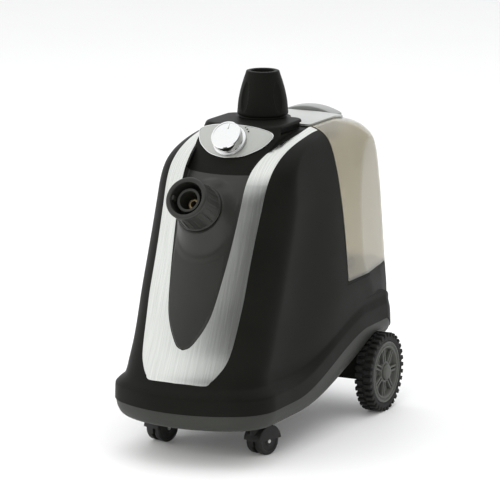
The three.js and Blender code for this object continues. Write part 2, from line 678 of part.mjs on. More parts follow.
function poleClamp() {
  const ring = turned([
    [pole.r + 0.1, 421.6], [pole.socketR + 0.2, 421.6], [pole.socketR + 0.2, 428], [19.4, 432.5],
    [19.4, 437], [15.6, 442.5], [pole.r + 0.1, 442.5], [pole.r + 0.1, 421.6],
  ]).translate(0, pole.y, 0);
  return solid(ring).subtract(solid(box([-1.5, 1.5], [pole.y, pole.y + 30], [410, 450])));
}

// ---- steam side ------------------------------------------------------------------

function steamSpout() {
  const flangeAt = -34;
  return turned([
    [spout.boreR, spout.back], [spout.r, spout.back], [spout.r, flangeAt], [23, flangeAt],
    [23, flangeAt + 3], [spout.r, flangeAt + 3], [spout.r, spout.front], [spout.boreR, spout.front],
    [spout.boreR, spout.back],
  ]);
}

function unionNut() {
  const ring = turned([
    [spout.r + 0.6, touchGap], [nut.baseR - 1, touchGap], [nut.baseR, 1.5], [nut.baseR - 0.3, 9],
    [nut.frontR + 0.6, nut.length - 2], [nut.frontR - 0.6, nut.length], [nut.boreR + 0.8, nut.length],
    [nut.boreR, nut.length - 1], [nut.boreR, 8], [spout.r + 0.6, 6.5], [spout.r + 0.6, touchGap],
  ], fineTurn);
  const lug = box([-nut.boreR - 1.5, 2.6 - nut.boreR], [-3, 3], [nut.length - 12, nut.length - 5]);
  return solid(ring).add(solid(lug));
}

const outletSeal = tube(nut.boreR - 0.5, spout.r + 0.35, 8.6, 11.4);
const brassNozzle = turned([
  [4, 4], [spout.boreR - touchGap, 4], [spout.boreR - touchGap, 8], [7.5, 10], [7.5, 17], [4, 17], [4, 4],
]);

// ---- heater ------------------------------------------------------------------------

const boilerPot = turned([
  [0, boiler.low], [boiler.r - 6, boiler.low], [boiler.r - 2, boiler.low + 4], [boiler.r - 2, boiler.high - 5],
  [boiler.r + 4, boiler.high - 5], [boiler.r + 4, boiler.high], [boiler.r - 7, boiler.high],
  [boiler.r - 7, boiler.low + 7], [0, boiler.low + 7],
], fineTurn);
const boilerLid = turned([
  [6.5, boiler.high + 1.4], [boiler.r + 4, boiler.high + 1.4], [boiler.r + 4, boiler.high + 4.5],
  [boiler.r - 9, boiler.high + 6], [24, boiler.high + 15], [6.5, boiler.high + 15], [6.5, boiler.high + 1.4],
], fineTurn);
const boilerSeal = tube(boiler.r + 1, boiler.r - 6, boiler.high + 0.3, boiler.high + 1.1, fineTurn);

function heatingElement() {
  const loop = Array.from({ length: 11 }, (_, i) => {
    const turn = lerp(0.25, 2 * Math.PI - 0.25, i / 10);
    return [36 * Math.sin(turn), 36 * Math.cos(turn), boiler.low + 14];
  });
  const points = [[loop[0][0], loop[0][1], boiler.low + 30], ...loop, [loop[10][0], loop[10][1], boiler.low + 30]];
  return pipe(points, 3.2, 24, 6).translate(0, boiler.y, 0);
}

function feedPipe() {
  const end = { x: 21, y: boiler.y + Math.sqrt(boiler.r ** 2 - 21 ** 2) };
  return pipe([
    [cap.x, cap.y, receiver.floor - touchGap], [cap.x, cap.y, receiver.floor - 28], [48, 95, 110],
    [26, 42, 104], [end.x, end.y + 8, 104], [end.x, end.y, 104],
  ], pipes.feedR, 16, 8);
}

function steamPipe() {
  const out = new THREE.Vector3(0, 0, spout.back - touchGap).applyMatrix4(outletFrame);
  const before = new THREE.Vector3(0, 0, spout.back - 24).applyMatrix4(outletFrame);
  const top = boiler.high + 15 + touchGap;
  return pipe([
    [0, boiler.y, top], [0, boiler.y, top + 60], [0, before.y + 14, before.z - 22],
    before.toArray(), out.toArray(),
  ], pipes.steamR, 16, 10);
}

const thermostat = turned([[0, boiler.low - 8], [8, boiler.low - 8], [12, boiler.low - 5],
  [12, boiler.low - touchGap], [0, boiler.low - touchGap]], 12);
const cordGland = turned([
  [gland.boreR, -9], [gland.barrelR, -9], [gland.barrelR, 0.6], [gland.r, 0.6], [gland.r, 2.4],
  [gland.r - 1.4, 3.9], [gland.boreR, 3.9], [gland.boreR, -9],
]);
const terminalBlock = box([gland.x - 18, gland.x + 18], [168, 196], [110, 124]);

// ---- running gear --------------------------------------------------------------------

const wheelProfile = {
  hub: [
    [rearWheel.boreR, -9], [12, -9], [12, -4], [33, -4], [34, -10.6], [rearWheel.rimR, -10.6],
    [rearWheel.rimR, 10.6], [32, 10], [30, 5], [14, 5], [13, 9], [10.6, 9],
    [10.6, 7], [rearWheel.boreR, 7], [rearWheel.boreR, -9],
  ],
  tyre: [
    [rearWheel.rimR + 0.35, -10.4], [rearWheel.r - 2.5, -rearWheel.half], [rearWheel.r, -8],
    [rearWheel.r, 8], [rearWheel.r - 2.5, rearWheel.half], [rearWheel.rimR + 0.35, 10.4],
    [rearWheel.rimR + 0.35, -10.4],
  ],
  cover: [[0, 8], [10.2, 8], [10.2, 11], [8.4, 13], [0, 14]],
};

function wheelHub() {
  let hub = solid(turned(wheelProfile.hub, fineTurn));
  const spokes = 7;
  for (let i = 0; i < spokes; i += 1) {
    const spoke = box([-2.6, 2.6], [12.2, 31.2], [4, 8.4]).rotateZ(i * 2 * Math.PI / spokes);
    hub = hub.add(solid(spoke));
  }
  return hub;
}

function axleCarrier() {
  const rearY = rearWheel.y;
  const deep = carrier.halfDepth;
  let block = solid(box([-carrier.half, carrier.half], [rearY - deep, rearY + deep], [carrier.low, carrier.low + 18]));
  for (const side of [-1, 1]) {
    const near = side * 46;
    const far = side * carrier.half;
    const post = box([Math.min(near, far), Math.max(near, far)], [rearY - deep - 8, rearY + deep], [carrier.low, 110]);
    block = block.add(solid(post));
  }
  const bore = solid(rod(axle.r + touchGap, -130, 130).rotateY(Math.PI / 2).translate(0, rearY, rearWheel.r));
  return block.subtract(bore).subtract(solid(loft(bowlRings(-touchGap, -touchGap, 30))));
}

function casterHood() {
  const { r, web, wheelFar } = caster;
  const wheelTurn = (geometry) => geometry.rotateY(Math.PI / 2).translate(0, caster.trail, r);
  const arch = solid(wheelTurn(rod(r + 3, -wheelFar - 1.2, wheelFar + 1.2, fineTurn)))
    .subtract(solid(wheelTurn(rod(r + 1.2, -wheelFar - 0.4, wheelFar + 0.4, fineTurn))))
    .subtract(solid(box([-40, 40], [-40, 60], [-40, r + 2])));
  const plate = solid(wheelTurn(rod(r + 2, -web, web, fineTurn)))
    .subtract(solid(box([-10, 10], [-40, 60], [-40, r - 6])));
  const boss = solid(rod(7, r + 6, 44));
  return arch.add(plate).add(boss.subtract(solid(wheelTurn(rod(r + 1.2, -30, 30, fineTurn)))))
    .subtract(solid(rod(4.3, r + 18, 50)))
    .subtract(solid(wheelTurn(rod(2.8, -30, 30, 12))));
}

// ---- named pieces ----------------------------------------------------------------------

addPiece('base_tray', baseTray(), 'trayPlastic');
addPiece('body_shell', bodyShell(), 'bodyPlastic');
addPiece('steel_trim', steelTrim(), 'steel');
addPiece('front_fascia', frontFascia(), 'panelPlastic');
addPiece('top_console', topConsole(), 'bodyPlastic');
addPiece('control_plate', controlPlate(), 'silver');
addPiece('tank_cradle', tankCradle(), 'bodyPlastic');

addPiece('tank_shell', tankShell(), 'smokeClear');
addPiece('tank_lid', tankLid(), 'silver');
addPiece('tank_grip', tankGrip(), 'handleSatin');
addPiece('tank_cap', capAt(valveCap), 'bodyPlastic');
addPiece('cap_seal', capAt(tube(cap.r - 1, cap.neckR + 0.3, capFlangeTop - 1.5, capFlangeTop)), 'sealRubber');
addPiece('valve_plunger', capAt(valvePlunger), 'silver');
addPiece('valve_spring', capAt(valveSpring()), 'steel');
addPiece('valve_guide', capAt(tube(9.1, 2.6, 194, 196)), 'silver');
addPiece('receiver_cup', capAt(turned([
  [0, receiver.floor], [receiver.r, receiver.floor], [receiver.r, receiver.top],
  [receiver.r - 3, receiver.top], [receiver.r - 3, receiver.floor + 3], [0, receiver.floor + 3],
], fineTurn)), 'panelPlastic');
addPiece('receiver_pin', capAt(rod(2.5, receiver.floor + 3 + touchGap, cap.low - 5 - touchGap, 12)), 'steel');

const leant = (name, geometry, frame, finish) => {
  const mesh = addPiece(name, geometry, finish);
  mesh.applyMatrix4(frame);
};
leant('control_knob', knobShape, faceFrame, 'chrome');
leant('knob_spindle', rod(knob.spindleR, -20, knob.top - 4.4, 12), faceFrame, 'steel');
addPiece('steam_regulator', regulatorBody(), 'panelPlastic');
addPiece('pole_socket', poleSocket(), 'bodyPlastic');
addPiece('pole_clamp', poleClamp(), 'panelPlastic');
addPiece('lock_collar', lockCollar(), 'bodyPlastic');

leant('steam_spout', steamSpout(), outletFrame, 'panelPlastic');
leant('brass_nozzle', brassNozzle, outletFrame, 'brass');
leant('outlet_seal', outletSeal, outletFrame, 'sealRubber');
leant('hose_nut', toGeometry(unionNut()), outletFrame, 'panelPlastic');

const atBoiler = (geometry) => geometry.translate(0, boiler.y, 0);
addPiece('boiler_pot', atBoiler(boilerPot), 'aluminium');
addPiece('boiler_seal', atBoiler(boilerSeal), 'sealRubber');
addPiece('boiler_lid', atBoiler(boilerLid), 'aluminium');
addPiece('heating_element', heatingElement(), 'steel');

addPiece('thermostat', atBoiler(thermostat), 'ceramic');
addPiece('feed_pipe', feedPipe(), 'pipeRubber');
addPiece('steam_pipe', steamPipe(), 'pipeRubber');
addPiece('cord_gland', throughRear(cordGland), 'sealRubber');
addPiece('terminal_block', terminalBlock, 'ceramic');

addPiece('axle_carrier', axleCarrier(), 'bodyPlastic');
const axleRod = rod(axle.r, -axle.half, axle.half).rotateY(Math.PI / 2).translate(0, rearWheel.y, rearWheel.r);
addPiece('rear_axle', axleRod, 'steel');

for (const [sideName, side] of [['left', -1], ['right', 1]]) {
  const wheel = new THREE.Group();
  wheel.position.set(side * rearWheel.x, rearWheel.y, rearWheel.r);
  wheel.rotation.y = side * Math.PI / 2;
  group.add(wheel);
  addPiece(`${sideName}_wheel_hub`, wheelHub(), 'wheelGrey', wheel);
  addPiece(`${sideName}_tyre`, turned(wheelProfile.tyre, fineTurn), 'tyreBlack', wheel);
  addPiece(`${sideName}_wheel_cover`, turned(wheelProfile.cover), 'wheelGrey', wheel);

  const swivel = new THREE.Group();
  const pin = casterPivot(side);
  swivel.position.set(pin.x, pin.y, 0);
  swivel.rotation.z = caster.yaw;
  group.add(swivel);
  addPiece(`${sideName}_caster_hood`, casterHood(), 'casterBlack', swivel);
  addPiece(`${sideName}_caster_stem`, rod(4, caster.r + 18.4, 60, 12), 'steel', swivel);
  const along = (geometry) => geometry.rotateY(Math.PI / 2).translate(0, caster.trail, caster.r);
  addPiece(`${sideName}_caster_axle`, along(rod(2.4, -12.2, 12.2, 12)), 'steel', swivel);
  for (const [placeName, from, to] of [['inner', -side * 12, -side * 3.1], ['outer', side * 3.1, side * 12]]) {
    const disc = tube(caster.r, 2.8, Math.min(from, to), Math.max(from, to), fineTurn);
    addPiece(`${sideName}_caster_${placeName}_wheel`, along(disc), 'casterBlack', swivel);
  }
}

screwPlaces.forEach(([x, y], i) => {
  const head = screwFloor(y - 4) - touchGap;
  const screw = turned([
    [0, head - 2.4], [3, head - 2.4], [4, head - 1.4], [4, head], [screws.boreR, head],
    [screws.boreR, head + 28], [0, head + 30],
  ], 12);
  addPiece(`tray_screw_${i + 1}`, screw.translate(x, y, 0), 'steel');
});

group.updateMatrixWorld(true);

export default group;
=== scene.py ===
# Looks of an upright garment steamer base, built around its imported solids.
# Shapes are worked out in millimetres; rawObject turns them into metres.
import json
import math
import bmesh
import bpy
import numpy as np
from mathutils import Matrix, Vector
from mathutils.bvhtree import BVHTree


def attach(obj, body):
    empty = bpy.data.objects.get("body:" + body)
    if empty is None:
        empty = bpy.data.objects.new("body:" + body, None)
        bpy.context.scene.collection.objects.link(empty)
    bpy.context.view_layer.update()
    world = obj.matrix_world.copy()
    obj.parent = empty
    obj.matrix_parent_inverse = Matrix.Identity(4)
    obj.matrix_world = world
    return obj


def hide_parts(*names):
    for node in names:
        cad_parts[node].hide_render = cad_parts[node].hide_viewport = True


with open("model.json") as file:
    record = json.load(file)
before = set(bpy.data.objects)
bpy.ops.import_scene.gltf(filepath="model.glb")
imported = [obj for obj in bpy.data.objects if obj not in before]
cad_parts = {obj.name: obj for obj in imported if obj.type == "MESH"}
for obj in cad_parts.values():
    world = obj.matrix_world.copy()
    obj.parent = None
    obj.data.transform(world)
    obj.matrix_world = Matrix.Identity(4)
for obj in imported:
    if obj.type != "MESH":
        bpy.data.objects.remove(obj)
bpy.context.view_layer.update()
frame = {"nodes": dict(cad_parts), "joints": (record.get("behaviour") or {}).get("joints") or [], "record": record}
joints = {joint["name"]: joint for joint in frame["joints"]}
mm = 0.001
root2 = math.sqrt(2)


# Camera, floor and light

view = {
    "aim": (-0.02374, 0.0415, 0.21741),
    "place": (1.9776, -3.8864, 1.1424),
    "lens": 257.5,
    "floorSize": 14.0,
    "floorGrey": 0.9,
    "glow": 1.0,
    "ambient": 0.93,
    "darkSide": 0.16,
    "brightSide": 1.15,
    "brightFrom": (-0.62, 0.48, 0.62),
    "turn": (-0.35, 0.5),
}
softBoxes = [  # name, place, size, power, colour
    ("overhead", (-0.2, 0.5, 2.6), (3.4, 3.2), 37, (0.97, 0.985, 1.0)),
    ("leftWall", (-2.6, -1.2, 1.3), (2.4, 2.4), 19, (1.0, 0.985, 0.95)),
    ("frontFill", (0.5, -3.0, 1.7), (1.5, 1.3), 26, (1.0, 0.99, 0.96)),
    ("rightFill", (2.8, 0.9, 1.5), (1.6, 1.8), 2, (1.0, 0.99, 0.97)),
]


def setUpStudio():
    camera = bpy.data.objects.new("camera", bpy.data.cameras.new("camera"))
    camera.data.lens = view["lens"]
    camera.data.sensor_width = 36
    camera.data.clip_end = 60
    camera.location = view["place"]
    facing = Vector(view["aim"]) - Vector(view["place"])
    camera.rotation_euler = facing.to_track_quat("-Z", "Y").to_euler()
    bpy.context.scene.collection.objects.link(camera)
    bpy.context.scene.camera = camera
    for name, place, size, power, colour in softBoxes:
        light = bpy.data.lights.new(name, "AREA")
        light.shape = "RECTANGLE"
        light.size, light.size_y = size
        light.energy = power
        light.color = colour
        lamp = bpy.data.objects.new(name, light)
        lamp.location = place
        lamp.rotation_euler = (Vector((0, 0, 0.2)) - Vector(place)).to_track_quat("-Z", "Y").to_euler()
        lamp.visible_glossy = False  # shiny pieces mirror the two-tone sky, and not the boxes
        bpy.context.scene.collection.objects.link(lamp)
    world = bpy.data.worlds.new("studio")
    bpy.context.scene.world = world
    world.use_nodes = True
    nodes, links = world.node_tree.nodes, world.node_tree.links
    nodes.clear()
    seen = nodes.new("ShaderNodeLightPath")
    facing = nodes.new("ShaderNodeTexCoord")
    toBright = nodes.new("ShaderNodeVectorMath")
    toBright.operation = "DOT_PRODUCT"
    toBright.inputs[1].default_value = Vector(view["brightFrom"]).normalized()
    links.new(facing.outputs["Generated"], toBright.inputs[0])
    shade = nodes.new("ShaderNodeMapRange")
    shade.interpolation_type = "SMOOTHSTEP"
    shade.inputs["From Min"].default_value, shade.inputs["From Max"].default_value = view["turn"]
    shade.inputs["To Min"].default_value = view["darkSide"]
    shade.inputs["To Max"].default_value = view["brightSide"]
    links.new(toBright.outputs["Value"], shade.inputs["Value"])
    room = nodes.new("ShaderNodeBackground")
    room.inputs["Color"].default_value = (0.97, 0.985, 1.0, 1)
    links.new(shade.outputs["Result"], room.inputs["Strength"])
    glow = nodes.new("ShaderNodeBackground")
    glow.inputs["Color"].default_value = (1, 1, 1, 1)
    seenGlow = nodes.new("ShaderNodeMapRange")
    seenGlow.inputs["To Min"].default_value = view["ambient"]
    seenGlow.inputs["To Max"].default_value = view["glow"]
    links.new(seen.outputs["Is Camera Ray"], seenGlow.inputs["Value"])
    links.new(seenGlow.outputs["Result"], glow.inputs["Strength"])
    mix = nodes.new("ShaderNodeMixShader")
    links.new(seen.outputs["Is Glossy Ray"], mix.inputs[0])
    links.new(glow.outputs[0], mix.inputs[1])
    links.new(room.outputs[0], mix.inputs[2])
    out = nodes.new("ShaderNodeOutputWorld")
    links.new(mix.outputs[0], out.inputs["Surface"])
    bpy.context.scene.view_settings.view_transform = "Standard"


setUpStudio()
print("studio: camera and", len(softBoxes), "soft boxes")


# Finishes

def newFinish(name):
    material = bpy.data.materials.new(name)
    material.use_nodes = True
    tree = material.node_tree
    shader = tree.nodes["Principled BSDF"]
    place = tree.nodes.new("ShaderNodeTexCoord")
    return material, tree, shader, place.outputs["Object"]


def noiseOn(tree, place, scale, detail=2.0, stretch=(1, 1, 1)):
    mapping = tree.nodes.new("ShaderNodeMapping")
    mapping.inputs["Scale"].default_value = stretch
    tree.links.new(place, mapping.inputs["Vector"])
    noise = tree.nodes.new("ShaderNodeTexNoise")
    noise.inputs["Scale"].default_value = scale
    noise.inputs["Detail"].default_value = detail
    tree.links.new(mapping.outputs["Vector"], noise.inputs["Vector"])
    return noise.outputs["Fac"]


def ranged(tree, value, low, high):
    span = tree.nodes.new("ShaderNodeMapRange")
    span.inputs["From Min"].default_value = 0.3
    span.inputs["From Max"].default_value = 0.7
    span.inputs["To Min"].default_value = low
    span.inputs["To Max"].default_value = high
    tree.links.new(value, span.inputs["Value"])
    return span.outputs["Result"]


def tinted(tree, value, dark, light):
    mix = tree.nodes.new("ShaderNodeMix")
    mix.data_type = "RGBA"
    mix.inputs[6].default_value = (*dark, 1)
    mix.inputs[7].default_value = (*light, 1)
    tree.links.new(value, mix.inputs[0])
    return mix.outputs[2]


def bumped(tree, shader, height, strength, distance=0.0002):
    bump = tree.nodes.new("ShaderNodeBump")
    bump.inputs["Strength"].default_value = strength
    bump.inputs["Distance"].default_value = distance
    tree.links.new(height, bump.inputs["Height"])
    tree.links.new(bump.outputs["Normal"], shader.inputs["Normal"])


def mouldedPlastic(name, colour, roughness=0.45, grain=2600, strength=0.25, gloss=0.3):
    # Spark-eroded grain, faint cloudiness in the colour, and patches of handling gloss.
    material, tree, shader, place = newFinish(name)
    fine = noiseOn(tree, place, grain, 3.0)
    broad = noiseOn(tree, place, 14, 4.0)
    dark = tuple(c * 0.86 for c in colour)
    light = tuple(min(c * 1.16, 1) for c in colour)
    tree.links.new(tinted(tree, ranged(tree, broad, 0, 1), dark, light), shader.inputs["Base Color"])
    tree.links.new(ranged(tree, broad, roughness - 0.05, roughness + 0.06), shader.inputs["Roughness"])
    bumped(tree, shader, fine, strength)
    shader.inputs["Specular IOR Level"].default_value = gloss
    return material


def brushedMetal(name, colour, roughness, stretch, streak=900, anisotropy=0.5, strength=0.12):
    material, tree, shader, place = newFinish(name)
    lines = noiseOn(tree, place, streak, 2.0, stretch)
    dark = tuple(c * 0.9 for c in colour)
    light = tuple(min(c * 1.06, 1) for c in colour)
    tree.links.new(tinted(tree, ranged(tree, lines, 0, 1), dark, light), shader.inputs["Base Color"])
    tree.links.new(ranged(tree, lines, roughness - 0.04, roughness + 0.05), shader.inputs["Roughness"])
    bumped(tree, shader, lines, strength, 0.0001)
    shader.inputs["Metallic"].default_value = 1.0
    shader.inputs["Anisotropic"].default_value = anisotropy
    return material


def silverPaint(name, colour, roughness=0.32):
    # Fine metal flakes under a satin lacquer.
    material, tree, shader, place = newFinish(name)
    flakes = noiseOn(tree, place, 5200, 1.0)
    broad = noiseOn(tree, place, 20, 3.0)
    dark = tuple(c * 0.92 for c in colour)
    light = tuple(min(c * 1.06, 1) for c in colour)
    tree.links.new(tinted(tree, ranged(tree, flakes, 0, 1), dark, light), shader.inputs["Base Color"])
    tree.links.new(ranged(tree, broad, roughness - 0.04, roughness + 0.05), shader.inputs["Roughness"])
    bumped(tree, shader, flakes, 0.05, 0.0001)
    shader.inputs["Metallic"].default_value = 0.45
    shader.inputs["Coat Weight"].default_value = 0.2
    shader.inputs["Coat Roughness"].default_value = 0.2
    return material


def smokePlastic(name, colour):
    material, tree, shader, place = newFinish(name)
    broad = noiseOn(tree, place, 18, 3.0)
    dark = tuple(c * 0.95 for c in colour)
    light = tuple(min(c * 1.04, 1) for c in colour)
    tree.links.new(tinted(tree, ranged(tree, broad, 0, 1), dark, light), shader.inputs["Base Color"])
    tree.links.new(ranged(tree, broad, 0.1, 0.16), shader.inputs["Roughness"])
    bumped(tree, shader, broad, 0.02, 0.001)
    shader.inputs["Transmission Weight"].default_value = 0.88
    shader.inputs["IOR"].default_value = 1.45
    return material


def rubberLike(name, colour, roughness=0.75):
    material, tree, shader, place = newFinish(name)
    fine = noiseOn(tree, place, 1500, 4.0)
    broad = noiseOn(tree, place, 30, 4.0)
    dark = tuple(c * 0.75 for c in colour)
    light = tuple(min(c * 1.35, 1) for c in colour)
    tree.links.new(tinted(tree, ranged(tree, broad, 0, 1), dark, light), shader.inputs["Base Color"])
    tree.links.new(ranged(tree, fine, roughness - 0.07, roughness + 0.08), shader.inputs["Roughness"])
    bumped(tree, shader, fine, 0.35, 0.0003)
    return material


def studioFloor(name, grey):
    material, tree, shader, place = newFinish(name)
    broad = noiseOn(tree, place, 3, 3.0)
    tree.links.new(tinted(tree, broad, (grey - 0.01,) * 3, (grey + 0.01,) * 3), shader.inputs["Base Color"])
    shader.inputs["Roughness"].default_value = 0.6
    shader.inputs["Specular IOR Level"].default_value = 0.25
    return material


finishes = {
    "body_plastic": mouldedPlastic("nearBlackShell", (0.0085, 0.0088, 0.0072), 0.46, gloss=0.05),
    "panel_plastic": mouldedPlastic("satinBlackPanel", (0.0175, 0.0178, 0.0148), 0.42, 3200, 0.18, 0.42),
    "tray_plastic": mouldedPlastic("greyTray", (0.034, 0.036, 0.031), 0.5, gloss=0.2),
    "trim_steel": brushedMetal("brushedTrim", (0.70, 0.71, 0.67), 0.16, (1, 0.02, 0.02), strength=0.05),
    "silver_paint": silverPaint("silverLacquer", (0.41, 0.42, 0.395)),
    "knob_chrome": brushedMetal("turnedChrome", (0.86, 0.86, 0.85), 0.12, (1, 1, 0.05), 2600, 0.3, 0.01),
    "smoke_clear": smokePlastic("smokeTank", (0.56, 0.52, 0.41)),
    "grip_satin": silverPaint("greySatinGrip", (0.28, 0.285, 0.275), 0.36),
    "wheel_grey": mouldedPlastic("wheelGrey", (0.085, 0.088, 0.078), 0.55, 1800),
    "tyre_rubber": rubberLike("tyreRubber", (0.006, 0.006, 0.005), 0.8),
    "caster_plastic": mouldedPlastic("casterBlack", (0.012, 0.012, 0.011), 0.5),
    "brass": brushedMetal("turnedBrass", (0.40, 0.31, 0.18), 0.4, (1, 1, 0.1), 700),
    "cast_aluminium": brushedMetal("castAluminium", (0.5, 0.51, 0.52), 0.5, (1, 1, 1), 400, 0.0, 0.4),
    "plain_steel": brushedMetal("plainSteel", (0.52, 0.52, 0.5), 0.35, (1, 1, 0.1), 600),
    "seal_rubber": rubberLike("sealRubber", (0.012, 0.012, 0.012)),
    "pipe_rubber": rubberLike("milkySilicone", (0.42, 0.4, 0.34), 0.55),
    "ceramic": mouldedPlastic("creamCeramic", (0.62, 0.59, 0.5), 0.6, 900, 0.3),
}
for part in frame["record"]["subparts"]:
    node = frame["nodes"][part["node"]]
    node.data.materials.clear()
    node.data.materials.append(finishes[part["material_slot"]])
print("finishes:", len(finishes))


# Making and cutting meshes

def rawObject(name, verts, faces):
    mesh = bpy.data.meshes.new(name)
    mesh.from_pydata((np.asarray(verts, float) * mm).tolist(), [], faces)
    shape = bpy.data.objects.new(name, mesh)
    bpy.context.scene.collection.objects.link(shape)
    tool = bmesh.new()
    tool.from_mesh(mesh)
    bmesh.ops.remove_doubles(tool, verts=tool.verts, dist=1e-7)
    bmesh.ops.recalc_face_normals(tool, faces=tool.faces)
    tool.to_mesh(mesh)
    tool.free()
    return shape


def bake(shape):
    # Puts the result of a shape's modifiers into its mesh.
    graph = bpy.context.evaluated_depsgraph_get()
    mesh = bpy.data.meshes.new_from_object(shape.evaluated_get(graph))
    shape.modifiers.clear()
    old = shape.data
    shape.data = mesh
    bpy.data.meshes.remove(old)
    return shape


def cut(shape, tool, operation="DIFFERENCE"):
    modifier = shape.modifiers.new("cut", "BOOLEAN")
    modifier.solver = "MANIFOLD"
    modifier.operation = operation
    modifier.object = tool
    bake(shape)
    bpy.data.objects.remove(tool)
    return shape


def copyOf(shape):
    twin = bpy.data.objects.new(shape.name, shape.data.copy())
    bpy.context.scene.collection.objects.link(twin)
    return twin


def joined(shapes):
    tool = bmesh.new()
    for shape in shapes:
        tool.from_mesh(shape.data)
    tool.to_mesh(shapes[0].data)
    tool.free()
    for shape in shapes[1:]:
        bpy.data.objects.remove(shape)
    return shapes[0]


def makePiece(shape, name, body, finish, nodes=(), crease=30, weighted=False):
    shape.name = name
    shape.data.materials.clear()
    shape.data.materials.append(finishes[finish])
    shape.data.shade_smooth()
    shape.data.set_sharp_from_angle(angle=math.radians(crease))
    if weighted:
        modifier = shape.modifiers.new("normals", "WEIGHTED_NORMAL")
        modifier.keep_sharp = True
        bake(shape)
    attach(shape, body)
    if nodes:
        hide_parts(*nodes)
    return shape


def placed(shape, matrix):
    shape.data.transform(matrix)
    return shape


def smoothstep(value, low, high):
    t = np.clip((np.asarray(value, float) - low) / (high - low), 0, 1)
    return t * t * (3 - 2 * t)


def eased(table, at):
    # Smooth curve through the rows of a table (first column rising) that never overshoots.
    table = np.asarray(table, float)
    x, rows = table[:, 0], table[:, 1:]
    step = np.diff(x)[:, None]
    slope = np.diff(rows, axis=0) / step
    tangent = np.zeros_like(rows)
    same = slope[:-1] * slope[1:] > 0
    mean = 2 * slope[:-1] * slope[1:] / np.where(same, slope[:-1] + slope[1:], 1)
    tangent[1:-1] = np.where(same, mean, 0)
    tangent[0], tangent[-1] = slope[0], slope[-1]
    at = np.clip(np.atleast_1d(at), x[0], x[-1])
    i = np.clip(np.searchsorted(x, at, side="right") - 1, 0, len(x) - 2)
    t = ((at - x[i]) / np.diff(x)[i])[:, None]
    h = np.diff(x)[i][:, None]
    return ((2 * t**3 - 3 * t**2 + 1) * rows[i] + (t**3 - 2 * t**2 + t) * h * tangent[i]
            + (3 * t**2 - 2 * t**3) * rows[i + 1] + (t**3 - t**2) * h * tangent[i + 1])


def curveThrough(points, steps):
    # Catmull-Rom curve through plane points, with its normals.
    points = np.asarray(points, float)
    count = len(points)
    where = np.linspace(0, count - 1, steps + 1)
    i = np.minimum(where.astype(int), count - 2)
    t = (where - i)[:, None]
    a, b = points[np.maximum(i - 1, 0)], points[i]
    c, d = points[i + 1], points[np.minimum(i + 2, count - 1)]
    spot = 0.5 * (2 * b + (c - a) * t + (2 * a - 5 * b + 4 * c - d) * t**2 + (3 * b - a - 3 * c + d) * t**3)
    along = 0.5 * ((c - a) + 2 * (2 * a - 5 * b + 4 * c - d) * t + 3 * (3 * b - a - 3 * c + d) * t**2)
    along /= np.linalg.norm(along, axis=1)[:, None]
    return spot, np.stack([along[:, 1], -along[:, 0]], axis=1)


def rounded(profile, radius, steps=4, loop=True):
    # Rounds the corners of a profile.
    points = [np.array(p, float) for p in profile]
    count = len(points)
    result = []
    for i, point in enumerate(points):
        if not loop and i in (0, count - 1):
            result.append(point)
            continue
        before, after = points[i - 1] - point, points[(i + 1) % count] - point
        reach = min(radius, 0.45 * np.linalg.norm(before), 0.45 * np.linalg.norm(after))
        start = point + before / np.linalg.norm(before) * reach
        end = point + after / np.linalg.norm(after) * reach
        for t in np.linspace(0, 1, steps + 1):
            result.append((1 - t)**2 * start + 2 * t * (1 - t) * point + t**2 * end)
    return [(float(p[0]), float(p[1])) for p in result]


def lathe(name, profile, sides=96, shapeRadius=None):
    # Turns (radius, height) pairs about Z. A profile that starts off the axis is a closed loop.
    verts, rows, faces = [], [], []
    for r, z in profile:
        if r < 1e-6:
            verts.append((0, 0, z))
            rows.append([len(verts) - 1] * sides)
            continue
        rows.append(list(range(len(verts), len(verts) + sides)))
        for i in range(sides):
            turn = 2 * math.pi * i / sides
            reach = shapeRadius(r, z, turn) if shapeRadius else r
            verts.append((reach * math.cos(turn), reach * math.sin(turn), z))
    followers = rows[1:] + ([rows[0]] if profile[0][0] > 1e-6 else [])
    for low, high in zip(rows, followers):
        for i in range(sides):
            j = (i + 1) % sides
            face = list(dict.fromkeys([low[i], low[j], high[j], high[i]]))
            if len(face) > 2:
                faces.append(face)
    return rawObject(name, verts, faces)


def rod(name, r, low, high, sides=96):
    return lathe(name, [(0, low), (r, low), (r, high), (0, high)], sides)


def block(name, x, y, z):
    corners = [(a, b, c) for c in z for b in y for a in x]
    sides = [(0, 2, 3, 1), (4, 5, 7, 6), (0, 1, 5, 4), (2, 6, 7, 3), (0, 4, 6, 2), (1, 3, 7, 5)]
    return rawObject(name, corners, sides)


def bevelled(shape, width, segments=3):
    modifier = shape.modifiers.new("edges", "BEVEL")
    modifier.width = width * mm
    modifier.segments = segments
    modifier.limit_method = "ANGLE"
    return bake(shape)


def ladderLoft(name, rings):
    # Closed skin over rings that mirror about X = 0; each end is closed by rungs across the ring.
    count = len(rings[0])
    faces = []
    for row in range(len(rings) - 1):
        base = row * count
        faces += [(base + i, base + (i + 1) % count, base + count + (i + 1) % count, base + count + i)
                  for i in range(count)]
    for row in (0, len(rings) - 1):
        base = row * count
        for i in range(count // 2):
            strip = [base + i, base + i + 1, base + (count - i - 1) % count, base + (count - i) % count]
            face = list(dict.fromkeys(strip))
            faces.append(face if row else face[::-1])
    return rawObject(name, np.concatenate(rings), faces)


def plateFrom(name, outline, low, high, toSpace):
    # Slab between two levels over a plane outline; toSpace turns (a, b, level) into a point.
    count = len(outline)
    verts = [toSpace(a, b, level) for level in (low, high) for a, b in outline]
    faces = [tuple(range(count))[::-1], tuple(range(count, 2 * count))]
    faces += [(i, (i + 1) % count, count + (i + 1) % count, count + i) for i in range(count)]
    return rawObject(name, verts, faces)


